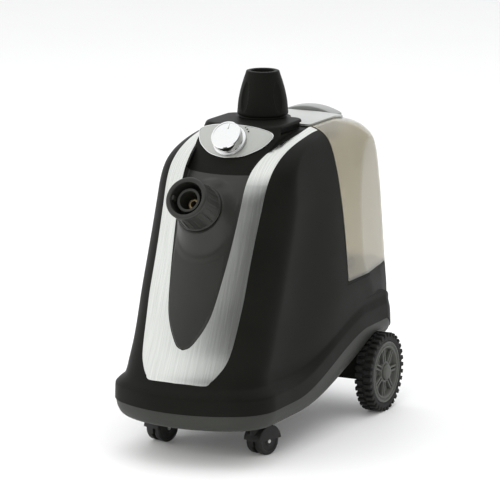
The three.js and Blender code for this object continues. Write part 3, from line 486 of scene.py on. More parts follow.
def ringTree():
    # Repeats the modifier's own mesh by equal turns about Z.
    tree = bpy.data.node_groups.new("ringOfParts", "GeometryNodeTree")
    kinds = {"Part": "Geometry", "Count": "Int", "Start": "Float", "Step": "Float", "Finish": "Material"}
    for name, kind in kinds.items():
        tree.interface.new_socket(name, in_out="INPUT", socket_type="NodeSocket" + kind)
    tree.interface.new_socket("Ring", in_out="OUTPUT", socket_type="NodeSocketGeometry")
    nodes, links = tree.nodes, tree.links
    given = nodes.new("NodeGroupInput")
    points = nodes.new("GeometryNodePoints")
    index = nodes.new("GeometryNodeInputIndex")
    turn = nodes.new("ShaderNodeMath")
    turn.operation = "MULTIPLY_ADD"
    euler = nodes.new("ShaderNodeCombineXYZ")
    toRotation = nodes.new("FunctionNodeEulerToRotation")
    scatter = nodes.new("GeometryNodeInstanceOnPoints")
    realize = nodes.new("GeometryNodeRealizeInstances")
    finish = nodes.new("GeometryNodeSetMaterial")
    out = nodes.new("NodeGroupOutput")
    links.new(given.outputs["Count"], points.inputs["Count"])
    links.new(index.outputs[0], turn.inputs[0])
    links.new(given.outputs["Step"], turn.inputs[1])
    links.new(given.outputs["Start"], turn.inputs[2])
    links.new(turn.outputs[0], euler.inputs["Z"])
    links.new(euler.outputs[0], toRotation.inputs[0])
    links.new(points.outputs[0], scatter.inputs["Points"])
    links.new(given.outputs["Part"], scatter.inputs["Instance"])
    links.new(toRotation.outputs[0], scatter.inputs["Rotation"])
    links.new(scatter.outputs[0], realize.inputs[0])
    links.new(realize.outputs[0], finish.inputs["Geometry"])
    links.new(given.outputs["Finish"], finish.inputs["Material"])
    links.new(finish.outputs[0], out.inputs[0])
    return tree


ringOfParts = ringTree()
ringItems = ringOfParts.interface.items_tree
ringSockets = {item.name: item.identifier for item in ringItems if item.in_out == "INPUT"}


def ringOf(part, count, finish, start=0.0, step=None):
    modifier = part.modifiers.new("ring", "NODES")
    modifier.node_group = ringOfParts
    modifier[ringSockets["Count"]] = count
    modifier[ringSockets["Start"]] = start
    modifier[ringSockets["Step"]] = step if step is not None else 2 * math.pi / count
    modifier[ringSockets["Finish"]] = finishes[finish]
    return bake(part)


def jointFrame(name):
    # Frame on a joint: Z along its axis, X across the object.
    z = Vector(joints[name]["axis"]).normalized()
    x = Vector((1, 0, 0))
    y = z.cross(x).normalized()
    turn = Matrix((x, y, z)).transposed().to_4x4()
    return Matrix.Translation(Vector(joints[name]["pos_m"])) @ turn


floorHalf = view["floorSize"] / mm / 2
floorCorners = [(x * floorHalf, y * floorHalf, 0) for x, y in [(-1, -1), (1, -1), (1, 1), (-1, 1)]]
floor = rawObject("studioFloor", floorCorners, [(0, 1, 2, 3)])
floor.data.materials.append(studioFloor("paleFloor", view["floorGrey"]))


# Outline of the body

# height, front, front radius, corner radius, half width at the front, half width, rear, rear radius
bodyTable = [
    (66.9, -216.2, 153, 57, 107.6, 107.6, 216.2, 45), (85, -215.6, 153, 57, 107, 107, 215.7, 45),
    (90, -213, 153, 57, 103, 106, 215, 44), (98, -206, 154, 57, 95, 104.5, 213, 42),
    (110, -200, 156, 57, 93.5, 104.6, 212.5, 41), (138, -185, 160, 57, 93.5, 104.8, 212, 40),
    (200, -160.5, 167, 57, 94.5, 103.6, 211, 40), (260, -136.7, 170, 57, 94.5, 100.4, 209, 40),
    (300, -121, 173, 54, 94, 96.6, 207, 40), (325, -110.5, 175, 45, 92, 93, 205, 40),
    (343, -98, 176, 38, 89.5, 89.5, 201, 40), (355, -82, 176, 35, 86.5, 86.5, 195, 42),
    (364, -63, 176, 38, 83, 83, 186, 44), (371, -42, 176, 44, 78.5, 78.5, 174, 44),
    (376, -20, 176, 48, 72, 72, 160, 44), (381, 8, 176, 48, 62, 62, 138, 44),
]
bowlTable = [
    (45.5, -203, 145, 50, 97, 97, 204, 38), (49.5, -208.5, 149, 54, 101.5, 101.5, 209, 42),
    (58, -213.2, 152, 56, 105.2, 105.2, 213.5, 44), (66.5, -215.2, 152.5, 57, 106.8, 106.8, 215.5, 45),
]
shell = {"wall": 3.2, "gap": 0.35, "skirtTop": 98, "liftEnd": 215, "topFrom": 335, "topTo": 378, "top": 381}
facet = {"x": 103, "y": 115, "z": 207, "perY": 0.1765, "perZ": 0.062, "soften": 1.1}


def seamLift(y):
    return 51.4 * smoothstep(y, -90, 130) - 24 * smoothstep(y, 165, 216)


def edgeLift(y):
    return 57 * smoothstep(y, -60, 215) - 22 * smoothstep(y, 170, 216)


def arc(centreX, centreY, r, start, end, steps):
    turn = np.linspace(start, end, steps + 1)
    return np.stack([centreX + r * np.sin(turn), centreY - r * np.cos(turn)], axis=1)


def halfOutline(row, inset, withFacet):
    z, front, frontR, cornerR, halfFront, half, rear, rearR = row
    frontR, halfFront, half = frontR - inset, halfFront - inset, half - inset
    rear, front = rear - inset, front + inset
    cornerR, rearR = max(cornerR - inset, 6), max(rearR - inset, 6)
    meet = math.asin((halfFront - cornerR) / (frontR - cornerR))
    cornerY = front + frontR - (frontR - cornerR) * math.cos(meet)
    sideEnd = rear - rearR
    fall = inset + facet["perZ"] * (z - facet["z"])
    limit = lambda y: facet["x"] - fall - facet["perY"] * (y - facet["y"])
    crease = facet["y"] + (limit(facet["y"]) - half) / facet["perY"]
    sideTurn = min(crease, sideEnd - 2) if withFacet else cornerY + 0.8 * (sideEnd - cornerY)
    sideY = np.linspace(cornerY, sideTurn, 23)[1:]
    sideX = halfFront + (half - halfFront) * smoothstep(sideY, cornerY, 45)
    points = np.concatenate([
        arc(0, front + frontR, frontR, 0, meet, 12),
        arc(halfFront - cornerR, cornerY, cornerR, meet, math.pi / 2, 14)[1:],
        np.stack([sideX, sideY], axis=1),
        arc(half - rearR, sideEnd, rearR, math.pi / 2, math.pi, 18),
        np.stack([np.linspace(half - rearR, 0, 8)[1:], np.full(7, rear)], axis=1),
    ])
    if withFacet:
        pane = limit(points[:, 1])
        gap = points[:, 0] - pane
        softened = 0.5 * (points[:, 0] + pane - np.sqrt(gap**2 + facet["soften"]**2))
        points[:, 0] = np.where(gap > -12, softened, points[:, 0])
        points[-1, 0] = 0
    return points


def ringAt(row, inset, lift, withFacet):
    half = halfOutline(row, inset, withFacet)
    drop = inset * float(smoothstep(row[0], shell["topFrom"], shell["topTo"]))
    z = row[0] + lift(half[:, 1]) - drop
    right = np.column_stack([half, z])
    left = right[1:-1][::-1] * (-1, 1, 1)
    return np.concatenate([right, left])


def bodyHeights():
    stops = [(66.9, 84, 6), (84, 116, 22), (116, 330, 38), (330, shell["top"], 34)]
    levels = np.concatenate([np.linspace(a, b, n, endpoint=False) for a, b, n in stops])
    return np.append(levels, shell["top"])


def envelope(inset, openBelow=0):
    rings = []
    for i, row in enumerate(np.column_stack([bodyHeights(), eased(bodyTable, bodyHeights())])):
        follow = 1 - float(smoothstep(row[0], shell["skirtTop"], shell["liftEnd"]))
        below = openBelow if i == 0 else 0
        lift = lambda y: follow * seamLift(y) - below
        rings.append(ringAt(row, inset, lift, row[0] > 104))
    return ladderLoft("envelope", rings)


# Panels drawn in the plane that leans back 45 degrees

trimOuter = [
    (0, -72.5), (36, -70), (44.5, -63), (51, -53), (57, -39), (60.5, -20), (63, 12), (64.5, 38),
    (64.8, 76), (66, 116), (68, 156), (69.5, 192), (70, 226), (70.3, 262), (68.5, 310),
]
trimInner = [
    (0, -33), (9, -29), (17, -18), (24.3, -4), (30.4, 15), (35.5, 50), (39.6, 88), (42.4, 128),
    (43.6, 160), (46, 187), (51, 218), (57, 246), (60, 272), (57.5, 310),
]


def leaning(x, v, w):
    return (x, (v - w) / root2, (v + w) / root2)


def panelPrism(outline, grow=0):
    spots, normals = curveThrough(outline, 110)
    right = spots + normals * grow
    right[0, 0] = 0
    left = right[1:][::-1] * (-1, 1)
    return plateFrom("panel", np.concatenate([right, left]).tolist(), 195, 350, leaning)


tank = {"floor": 185.5, "wall": 2.6, "frontLow": 62.5, "frontHigh": 47.5, "channelR": 37.5}
cradleReach = shell["wall"] + 2 * shell["gap"]


def tankSpace(shrink):
    low = tank["floor"] + shrink
    slope = (tank["frontHigh"] - tank["frontLow"]) / (shell["top"] - tank["floor"])
    frontAt = lambda z: tank["frontLow"] + shrink + slope * (z - tank["floor"])
    outline = [(frontAt(low), low), (260, low), (260, 460), (frontAt(460), 460)]
    return plateFrom("tankSpace", outline, -130, 130, lambda y, z, x: (x, y, z))


poleY = joints["collar_turn"]["pos_m"][1] / mm


def poleColumn(r, low, high):
    return placed(rod("column", r, low, high), Matrix.Translation((0, poleY * mm, 0)))


def makeCovers():
    outside = envelope(0)
    bodyShell = cut(copyOf(outside), envelope(shell["wall"], 40))
    rebate = cut(panelPrism(trimOuter, shell["gap"]), envelope(1.35))
    cut(bodyShell, rebate)
    cut(bodyShell, panelPrism(trimInner, shell["gap"]))
    cut(bodyShell, tankSpace(-cradleReach))
    makePiece(bodyShell, "bodyShell", "base", "body_plastic", ["body_shell"], weighted=True)
    trim = cut(copyOf(outside), envelope(1))
    cut(trim, panelPrism(trimOuter), "INTERSECT")
    cut(trim, panelPrism(trimInner))
    cut(trim, tankSpace(-cradleReach))
    makePiece(trim, "steelTrim", "base", "trim_steel", ["steel_trim"], weighted=True)
    return outside


outerSkin = makeCovers()
print("covers: shell and trim")


# Middle panel around the steam outlet

# height, front, arc radius
panelTable = [
    (120, -192.5, 115), (136, -186.5, 115), (150, -182.5, 115), (200, -164.2, 115), (250, -144.6, 115),
    (286, -129.5, 115), (305, -118.5, 118), (322, -105, 122), (338.5, -90, 128), (350, -79, 130),
]
fascia = {
    "foldV": 174.65, "foldRise": 7, "foldHalf": 45.5, "edgeGap": 0.35, "thick": 3,
    "across": 96, "along": 170,
    "flankSink": 0.9, "valley": 1.3, "valleyFrom": 150,
    "collarR": 30.2, "sideReach": 8, "lowReach": 17.5, "highReach": 24,
    "padV": 100, "padHalf": 33.5, "padSpread": 0.125, "padLow": 32, "padProud": 2.3, "padFall": 5.5,
}
nutAxis = jointFrame("nut_turn")
nutBase = nutAxis.translation / mm
outletV, outletW = (nutBase.y + nutBase.z) / root2, (nutBase.z - nutBase.y) / root2
axisTilt = 0.2867       # rise of the outlet's seat per unit up the leaning plane


def panelDepth(x, v):
    # Depth W of the plain panel surface at (x, v), found by halving the range of heights.
    low, high = np.full(x.shape, 60.0), np.full(x.shape, 400.0)
    front = lambda z: eased(panelTable, z.ravel()).reshape(z.shape + (2,))
    for _ in range(26):
        z = (low + high) / 2
        row = front(z)
        y = row[..., 0] + row[..., 1] - np.sqrt(row[..., 1]**2 - x**2)
        rising = (y + z) / root2 < v
        low, high = np.where(rising, z, low), np.where(rising, high, z)
    return (z - y) / root2


def skinDepth(surface, x, v):
    # Depth W of the body's outside, by a ray along the leaning plane's normal.
    start = Vector(leaning(x, v, 420)) * mm
    hit = surface.ray_cast(start, Vector((0, 1, -1)).normalized())[0]
    return (hit.z - hit.y) / root2 / mm if hit else float("nan")


def makeFascia(outside):
    surface = BVHTree.FromObject(outside, bpy.context.evaluated_depsgraph_get())
    topV = fascia["foldV"] + fascia["foldRise"]
    spots, normals = curveThrough(trimInner, 400)
    edge = spots - normals * fascia["edgeGap"]
    edge = edge[(edge[:, 0] > 1.2) & (edge[:, 1] < topV)]
    edge = np.vstack([edge, [np.interp(topV, spots[:, 1], spots[:, 0]) - fascia["edgeGap"], topV]])
    travel = np.concatenate([[0], np.cumsum(np.linalg.norm(np.diff(edge, axis=0), axis=1))])
    rows = np.linspace(0, travel[-1], fascia["along"])
    half, v = np.interp(rows, travel, edge[:, 0]), np.interp(rows, travel, edge[:, 1])
    share = np.linspace(-1, 1, fascia["across"] + 1)
    x, vv = half[:, None] * share, np.repeat(v[:, None], len(share), axis=1)
    vv -= fascia["foldRise"] * (1 - share**2) * smoothstep(vv, topV - 60, topV)
    w = panelDepth(x, vv)
    w -= fascia["valley"] * smoothstep(vv, fascia["valleyFrom"], topV) * (1 - (x / 60)**2)
    ridge = fascia["padHalf"] + fascia["padSpread"] * np.maximum(vv - fascia["padV"], 0)
    drop = np.maximum(fascia["padV"] - vv, 0) / fascia["padLow"]
    beyond = (np.hypot(np.abs(x) / ridge, drop) - 1) * ridge
    w += fascia["padProud"] * np.clip(1 - beyond / fascia["padFall"], 0, 1)
    seat = outletW - 0.8 + axisTilt * (vv - outletV)
    turn = np.hypot(x, vv - outletV) + 1e-6
    up = (vv - outletV) / turn
    upright = np.where(up < 0, fascia["lowReach"], fascia["highReach"])
    reach = upright * up**2 + fascia["sideReach"] * (1 - up**2)
    t = np.clip((turn - fascia["collarR"]) / reach, 0, 1)
    w += np.maximum(seat - w, 0) * (1 - t)**1.7
    rim = np.array([skinDepth(surface, h, level) for h, level in zip(half, v)])
    rim = np.interp(rows, rows[~np.isnan(rim)], rim[~np.isnan(rim)]) - fascia["flankSink"]
    width = np.clip(half[:, None] - ridge[:, :1] - 0.5, 2.2, half[:, None] * 0.6)
    near = np.clip(1 - (half[:, None] - np.abs(x)) / width, 0, 1)
    w = w + (rim[:, None] - w) * near**1.15
    verts, count = [], len(share)
    for depth in (0, fascia["thick"]):
        for i in range(len(v)):
            verts += [leaning(x[i, j], vv[i, j], w[i, j] - depth) for j in range(count)]
    deep = len(v) * count
    faces = []
    for i in range(len(v) - 1):
        for j in range(count - 1):
            a = i * count + j
            faces.append((a, a + 1, a + 1 + count, a + count))
            faces.append((deep + a, deep + a + count, deep + a + 1 + count, deep + a + 1))
    loop = [*range(count), *(i * count + count - 1 for i in range(1, len(v)))]
    loop += [(len(v) - 1) * count + j for j in range(count - 2, -1, -1)]
    loop += [i * count for i in range(len(v) - 2, 0, -1)]
    faces += [(loop[k], loop[k - 1], deep + loop[k - 1], deep + loop[k]) for k in range(len(loop))]
    panel = rawObject("frontFascia", verts, faces)
    makePiece(panel, "frontFascia", "base", "panel_plastic", ["front_fascia"], 24)


makeFascia(outerSkin)
print("middle panel")


# Console, control plate and knob

# height, front, half width
consoleTable = [
    (330, -98.5, 48), (338.5, -90, 48.5), (356, -72, 50), (374, -57.1, 52), (386, -47.2, 52.5),
    (389.6, -44.2, 52.4), (391.3, -42, 51.6), (392, -39.4, 50),
]
console = {
    "frontR": 130, "cornerR": 2, "topCornerR": 22,
    "rearX": 38, "rearY": 29, "endR": 35, "poleR": 17.4,
}
sideGroove = {"from": -25, "to": 60, "low": 380, "high": 388.5, "inner": 45.5, "outer": 80}


def consoleRing(z, front, half):
    r, endR = console["frontR"], console["endR"]
    growth = float(smoothstep(z, 366, 388))
    cornerR = console["cornerR"] + (console["topCornerR"] - console["cornerR"]) * growth
    meet = math.asin((half - cornerR) / (r - cornerR))
    cornerY = front + r - (r - cornerR) * math.cos(meet)
    rearR = half - console["rearX"]
    endMeet = math.pi / 2 + math.asin((console["rearY"] + rearR - poleY) / endR)
    right = np.concatenate([
        arc(0, front + r, r, 0, meet, 14),
        arc(half - cornerR, cornerY, cornerR, meet, math.pi / 2, 8)[1:],
        arc(console["rearX"], console["rearY"], rearR, math.pi / 2, math.pi, 8),
        arc(0, poleY, endR, endMeet, math.pi, 14),
    ])
    right[-1, 0] = 0
    right = np.column_stack([right, np.full(len(right), z)])
    return np.concatenate([right, right[1:-1][::-1] * (-1, 1, 1)])


def consoleBlock():
    levels = np.concatenate([np.linspace(330, 386, 24, endpoint=False), np.linspace(386, 392, 12)])
    rings = [consoleRing(z, front, half) for z, (front, half) in zip(levels, eased(consoleTable, levels))]
    return ladderLoft("consoleBlock", rings)


def aboveFold():
    # All that lies above the curved parting between the console and the middle panel.
    low, rise = fascia["foldV"] + fascia["edgeGap"], fascia["foldRise"]
    reach, side, top = fascia["foldHalf"], 80, 330
    fold = [(x, low + rise * (x / reach)**2) for x in np.linspace(-reach, reach, 31)]
    outline = [(-side, low + rise), *fold, (side, low + rise), (side, top), (-side, top)]
    return plateFrom("aboveFold", outline, 100, 420, leaning)


def makeConsole(outside):
    flange = cut(copyOf(outside), envelope(shell["wall"]))
    cut(flange, panelPrism(trimInner, -shell["gap"]), "INTERSECT")
    cut(flange, aboveFold(), "INTERSECT")
    face = [(42, 170), (43, 184), (45, 200), (49, 224), (51, 262), (40, 300)]
    cut(flange, plateFrom("face", face + [(-a, b) for a, b in face[::-1]], 150, 380, leaning))
    cut(flange, tankSpace(-cradleReach))
    body = cut(consoleBlock(), aboveFold(), "INTERSECT")
    frameWork = cut(envelope(-shell["gap"]), envelope(shell["wall"] + shell["gap"]))
    cut(frameWork, panelPrism(trimInner, -shell["gap"]))
    cut(body, frameWork)
    cut(body, flange, "UNION")
    for side in (-1, 1):
        across = sorted((side * sideGroove["inner"], side * sideGroove["outer"]))
        along = (sideGroove["from"], sideGroove["to"])
        slot = block("slot", across, along, (sideGroove["low"], sideGroove["high"]))
        cut(body, bevelled(slot, 0.8, 2))
    cut(body, poleColumn(console["poleR"], 300, 420))
    makePiece(body, "topConsole", "base", "body_plastic", ["top_console"], weighted=True)


makeConsole(outerSkin)

knobAxis = jointFrame("knob_turn")
plateOutline = [
    (0, -23), (12, -21.5), (26, -16.2), (40, -5), (46, 3.2), (49.4, 10.5),
    (50.4, 16.8), (45, 20.6), (26, 23), (0, 23.4),
]
plate = {"lift": 0.35, "thick": 1.2, "rimR": 0.55, "steps": 90, "rings": 12, "fall": 0.77, "middle": 4.0}
dialTicks = {"count": 3, "radius": 24.4, "length": 2.1, "step": 0.15, "start": 0.68}


def plateHeight(x):
    # The console's face is a shallow arc across; this is how far it falls behind the flat face.
    return -(console["frontR"] - math.sqrt(console["frontR"]**2 - x**2)) * plate["fall"]


def makeControlPlate():
    right = curveThrough(plateOutline, plate["steps"])[0].tolist()
    loop = right + [(-a, b) for a, b in right[1:-1][::-1]]
    count = len(loop)
    middle = plate["middle"]
    verts, faces = [], []
    level = plate["lift"] + plate["thick"]
    levels = [(level, share) for share in np.linspace(0.02, 1, plate["rings"])]
    levels += [(plate["lift"], 1.0), (plate["lift"], 0.02)]
    for height, share in levels:
        edge = 0.35 if share > 0.995 and height == level else 0
        for a, b in loop:
            x, v = a * share, middle + (b - middle) * share
            verts.append((x, v, plateHeight(x) + height - edge))
    for row in range(len(levels) - 1):
        for i in range(count):
            j = (i + 1) % count
            faces.append((row * count + i, row * count + j, (row + 1) * count + j, (row + 1) * count + i))
    last = (len(levels) - 1) * count
    faces += [tuple(range(count)), tuple(range(last, last + count))[::-1]]
    shape = placed(rawObject("controlPlate", verts, faces), knobAxis)
    makePiece(shape, "controlPlate", "base", "silver_paint", ["control_plate"], 25)
    sides = 10
    verts, faces = [], []
    for i, (a, b) in enumerate(loop):
        before, after = np.array(loop[i - 1]), np.array(loop[(i + 1) % count])
        along = (after - before) / np.linalg.norm(after - before)
        out = np.array([along[1], -along[0]])
        for k in range(sides):
            turn = 2 * math.pi * k / sides
            spread = plate["rimR"] * math.cos(turn)
            x, v = a + out[0] * spread, b + out[1] * spread
            verts.append((x, v, plateHeight(a) + level - 0.3 + plate["rimR"] * math.sin(turn)))
    for i in range(count):
        for k in range(sides):
            a, b = i * sides, ((i + 1) % count) * sides
            faces.append((a + k, a + (k + 1) % sides, b + (k + 1) % sides, b + k))
    rim = placed(rawObject("plateRim", verts, faces), knobAxis)
    makePiece(rim, "plateRim", "base", "knob_chrome", (), 60)
    outward = (dialTicks["radius"], dialTicks["radius"] + dialTicks["length"])
    tick = bevelled(block("tick", outward, (-0.28, 0.28), (-2.6, level + 0.12)), 0.1, 1)
    ticks = ringOf(tick, dialTicks["count"], "panel_plastic", dialTicks["start"], dialTicks["step"])
    makePiece(placed(ticks, knobAxis), "dialTicks", "base", "panel_plastic")


makeControlPlate()

knobSize = {"r": 19.3, "flangeR": 21.3, "low": 2, "top": 17.5}


def makeKnob():
    r, low, top = knobSize["r"], knobSize["low"], knobSize["top"]
    flangeR, waist = knobSize["flangeR"], r - 1.6
    outer = [(3.3, low), (flangeR, low), (flangeR, low + 2.2), (waist, low + 3.2), (waist, low + 4.6),
             (r, low + 5.6), (r, top - 1.2)]
    crown = [(r - 0.9, top - 0.2), (r - 2.2, top), (r - 3.2, top - 0.45), (9, top - 0.75), (0, top - 0.8)]
    profile = rounded(outer, 0.5, 3, loop=False) + rounded(crown, 0.4, 3, loop=False)
    profile = [(0, low), *profile]
    shape = lathe("controlKnob", profile, 160)
    pointer = bevelled(block("pointer", (-0.7, 0.7), (8.5, 16.2), (top - 1.4, top + 0.1)), 0.2, 2)
    shape = joined([shape, pointer])
    makePiece(placed(shape, knobAxis), "controlKnob", "knob", "knob_chrome", ["control_knob"], 35)


makeKnob()
print("console, plate and knob")


# Steam outlet

nut = {
    "length": 41, "baseR": 29, "frontR": 26, "boreR": 20.5,
    "ribs": 22, "ribR": 1.15, "ribFrom": 4.5, "ribTo": 32.5,
}
spoutSize = {"r": 15, "boreR": 11.5, "back": -46, "front": 33, "flange": -34, "flangeR": 23}


def makeNut():
    length, baseR, frontR, boreR = nut["length"], nut["baseR"], nut["frontR"], nut["boreR"]
    outside = [
        (15.6, 0.4), (baseR - 1, 0.4), (baseR, 1.6), (baseR, 3.6), (baseR - 1.1, 4.4), (frontR - 0.7, 33),
        (frontR - 0.7, 33.6), (frontR + 0.75, 34.4), (frontR + 0.75, length - 1.2), (frontR - 0.8, length),
        (boreR + 1, length), (boreR, length - 1.2), (boreR, 8), (15.6, 6.5),
    ]
    ring = lathe("hoseNut", rounded(outside, 1.1, 4), 128)
    slope = (frontR - baseR + 0.4) / (nut["ribTo"] - nut["ribFrom"])
    verts, faces, sides, rows = [], [], 6, 6
    for i in range(rows + 1):
        t = i / rows
        z = nut["ribFrom"] + (nut["ribTo"] - nut["ribFrom"]) * t
        centre = baseR - 1.35 + slope * (z - nut["ribFrom"])
        r = nut["ribR"] * math.sin(math.pi * min(max(t, 0.04), 0.96))**0.3
        for k in range(sides):
            turn = 2 * math.pi * k / sides
            verts.append((centre + r * math.cos(turn), r * math.sin(turn), z))
    for i in range(rows):
        a, b = i * sides, (i + 1) * sides
        faces += [(a + k, a + (k + 1) % sides, b + (k + 1) % sides, b + k) for k in range(sides)]
    faces += [tuple(range(sides))[::-1], tuple(range(rows * sides, (rows + 1) * sides))]
    ribs = ringOf(rawObject("nutRib", verts, faces), nut["ribs"], "panel_plastic")
    lug = bevelled(block("lug", (-boreR - 1.5, 2.8 - boreR), (-3, 3), (length - 14, length - 3)), 0.5)
    shape = placed(joined([ring, ribs, lug]), nutAxis)
    makePiece(shape, "hoseNut", "nut", "panel_plastic", ["hose_nut"], 32)


makeNut()


def makeSpout():
    r, bore, back, front = spoutSize["r"], spoutSize["boreR"], spoutSize["back"], spoutSize["front"]
    flange, flangeR = spoutSize["flange"], spoutSize["flangeR"]
    profile = [
        (bore, back), (r, back), (r, flange), (flangeR, flange), (flangeR, flange + 3), (r, flange + 3),
        (r, 22), (r - 0.9, 23), (r - 0.9, 26), (r, 27), (r, front), (bore, front),
    ]
    pipe = lathe("steamSpout", rounded(profile, 0.7, 3), 96)
    makePiece(placed(pipe, nutAxis), "steamSpout", "base", "panel_plastic", ["steam_spout"])
    seat = bore - 0.35
    insert = [(4, 4), (seat, 4), (seat, 8), (8.6, 9.5), (7.5, 10.5), (7.5, 17), (6.6, 17.6), (4, 17.6)]
    nozzle = placed(lathe("brassNozzle", rounded(insert, 0.4, 2), 72), nutAxis)
    makePiece(nozzle, "brassNozzle", "base", "brass", ["brass_nozzle"])
    section = [(15.35, 8.6), (20, 8.6), (20, 11.4), (15.35, 11.4)]
    seal = placed(lathe("outletSeal", rounded(section, 1.2, 4), 72), nutAxis)
    makePiece(seal, "outletSeal", "base", "seal_rubber", ["outlet_seal"])


makeSpout()
print("steam outlet")


# Pole socket and lock collar

poleAxis = Matrix.Translation((0, poleY * mm, 0))
collar = {
    "base": 395.2, "top": 450, "scallops": 4, "start": -0.40,
    "depth": 2.7, "halfWidth": 6.3, "halfHeight": 18.5, "middle": 419,
    "boreR": 21, "crownR": 22.5, "crownFrom": 443,
}


def collarRadius(r, z, turn):
    # The bore and the crown stay round; only the flank has scallops.
    if r < collar["crownR"] and z > collar["crownFrom"] or r < collar["boreR"]:
        return r
    step = 2 * math.pi / collar["scallops"]
    nearest = (turn - collar["start"] + step / 2) % step - step / 2
    across = r * nearest / collar["halfWidth"]
    up = (z - collar["middle"]) / collar["halfHeight"]
    inside = 1 - across**2 - up**2
    return r - (collar["depth"] * math.sqrt(inside) if inside > 0 else 0)


def makeCollar():
    base, top = collar["base"], collar["top"]
    heights = np.linspace(base + 3, top - 3, 44)
    taper = [(base + 3, 31.8), (base + 16, 30.6), (base + 28, 28.4), (base + 40, 25.2), (top - 3, 21.3)]
    outside = list(zip(eased(taper, heights)[:, 0], heights))
    crown = [
        (21.3, top - 3), (20.6, top - 0.6), (19.4, top), (15.4, top), (14.5, top - 1.2), (14.5, top - 5),
        (20.2, top - 11), (20.2, top - 19), (17.7, top - 23), (17.7, base), (31, base), (31.8, base + 1.2),
    ]
    profile = outside + rounded(crown, 0.9, 4, loop=False)[1:]
    shape = lathe("lockCollar", profile, 288, collarRadius)
    makePiece(placed(shape, poleAxis), "lockCollar", "collar", "body_plastic", ["lock_collar"], 38)


makeCollar()
socketProfile = [
    (14.5, 252), (17, 252), (17, 392.35), (30, 392.35),
    (29.4, 394.85), (17, 394.85), (17, 421), (14.5, 421),
]
poleSocket = placed(lathe("poleSocket", rounded(socketProfile, 0.6, 3), 96), poleAxis)
makePiece(poleSocket, "poleSocket", "base", "body_plastic", ["pole_socket"])
print("pole socket and collar")


# Water tank

deck = {"half": 56, "front": 48, "rear": 148, "proud": 2.2, "round": 7}
handle = {"y": 166, "half": 39, "width": 22, "top": 386.5, "thick": 6.5, "foot": 364}
pocketSize = {"half": 31, "front": 14, "rear": 11, "floor": 350}
capPlace = Matrix.Translation((joints["cap_turn"]["pos_m"][0], joints["cap_turn"]["pos_m"][1], 0))
capSize = {"r": 19, "low": 177, "neckR": 12.4, "flangeTop": 185.15, "grips": 22}


def pocket(grow):
    x = pocketSize["half"] + grow
    y = (handle["y"] - pocketSize["front"] - grow, handle["y"] + pocketSize["rear"] + grow)
    return bevelled(block("pocket", (-x, x), y, (pocketSize["floor"] - grow, 400)), 4 + grow, 4)


def makeTank(outside):
    body = cut(copyOf(outside), tankSpace(0), "INTERSECT")
    cavity = cut(envelope(tank["wall"]), tankSpace(tank["wall"]), "INTERSECT")
    cut(cavity, poleColumn(tank["channelR"] + tank["wall"], 150, 450))
    cut(cavity, pocket(tank["wall"]))
    cut(body, poleColumn(tank["channelR"], 150, 450))
    cut(body, pocket(0))
    cut(body, cavity)
    cut(body, placed(rod("neckHole", capSize["neckR"] + 0.4, 170, 200, 64), capPlace))
    makePiece(body, "tankShell", "tank", "smoke_clear", ["tank_shell"], weighted=True)


def makeDeck():
    half, front, rear = deck["half"], deck["front"], deck["rear"]
    corners = [(-half, front), (half, front), (half, rear), (-half, rear)]
    outline = rounded(corners, deck["round"], 8)
    lid = cut(envelope(-deck["proud"]), envelope(-shell["gap"]))
    cut(lid, plateFrom("deck", outline, 340, 400, lambda a, b, z: (a, b, z)), "INTERSECT")
    cut(lid, poleColumn(tank["channelR"], 300, 450))
    makePiece(lid, "tankLid", "tank", "silver_paint", ["tank_lid"], weighted=True)


def makeHandle():
    half, top, thick, foot = handle["half"], handle["top"], handle["thick"], handle["foot"]
    bow = lambda edge, peak, reach: [
        ((2 * t - 1) * reach, (1 - t)**2 * edge + 2 * t * (1 - t) * peak + t**2 * edge)
        for t in np.linspace(0, 1, 29)
    ]
    outline = [(-half, foot), *bow(top - 9, top + 9, half), (half, foot), (half - thick, foot)]
    outline += [*bow(top - 12, top + 9 - 2 * thick, half - thick)[::-1], (thick - half, foot)]
    near, far = handle["y"] - handle["width"] / 2, handle["y"] + handle["width"] / 2
    arch = bevelled(plateFrom("tankGrip", outline, near, far, lambda a, b, y: (a, y, b)), 1.6, 4)
    makePiece(cut(arch, envelope(-shell["gap"])), "tankGrip", "tank", "grip_satin", ["tank_grip"], 40)


def makeCap():
    low, flange = capSize["low"], capSize["flangeTop"] - 1.8
    profile = [(3.4, low), (capSize["r"], low), (capSize["r"], flange), (capSize["neckR"], flange),
               (capSize["neckR"], 197), (9.4, 197), (9.4, low + 3), (3.4, low + 3)]
    cover = lathe("tankCap", rounded(profile, 0.6, 3), 88)
    along = (capSize["r"] - 0.8, capSize["r"] + 0.6)
    rib = bevelled(block("capRib", along, (-0.7, 0.7), (low + 0.8, flange - 0.6)), 0.25, 2)
    cover = joined([cover, ringOf(rib, capSize["grips"], "body_plastic")])
    makePiece(placed(cover, capPlace), "tankCap", "cap", "body_plastic", ["tank_cap"])


makeTank(outerSkin)
makeDeck()
makeHandle()
makeCap()
print("water tank")


# Lower tray

rearWheel = Vector(joints["right_wheel_roll"]["pos_m"]) / mm
archR = 54.5


def bowl(inset, floorRaise, rimRaise, rows=22):
    climbs = np.linspace(0, 1, rows)
    byStep = eased([(i, *row) for i, row in enumerate(bowlTable)], climbs * (len(bowlTable) - 1))
    rings = []
    for climb, row in zip(climbs, byStep):
        raised = floorRaise + (rimRaise - floorRaise) * climb**4
        lift = lambda y: edgeLift(y) + (seamLift(y) - edgeLift(y)) * climb + raised
        rings.append(ringAt(row, inset, lift, False))
    return ladderLoft("bowl", rings)


def sideways(side, x, y, z):
    # Frame of an axle that lies across the object: its Z points to the given side, -1 or 1.
    return Matrix.Translation((x * mm, y * mm, z * mm)) @ Matrix.Rotation(side * math.pi / 2, 4, "Y")


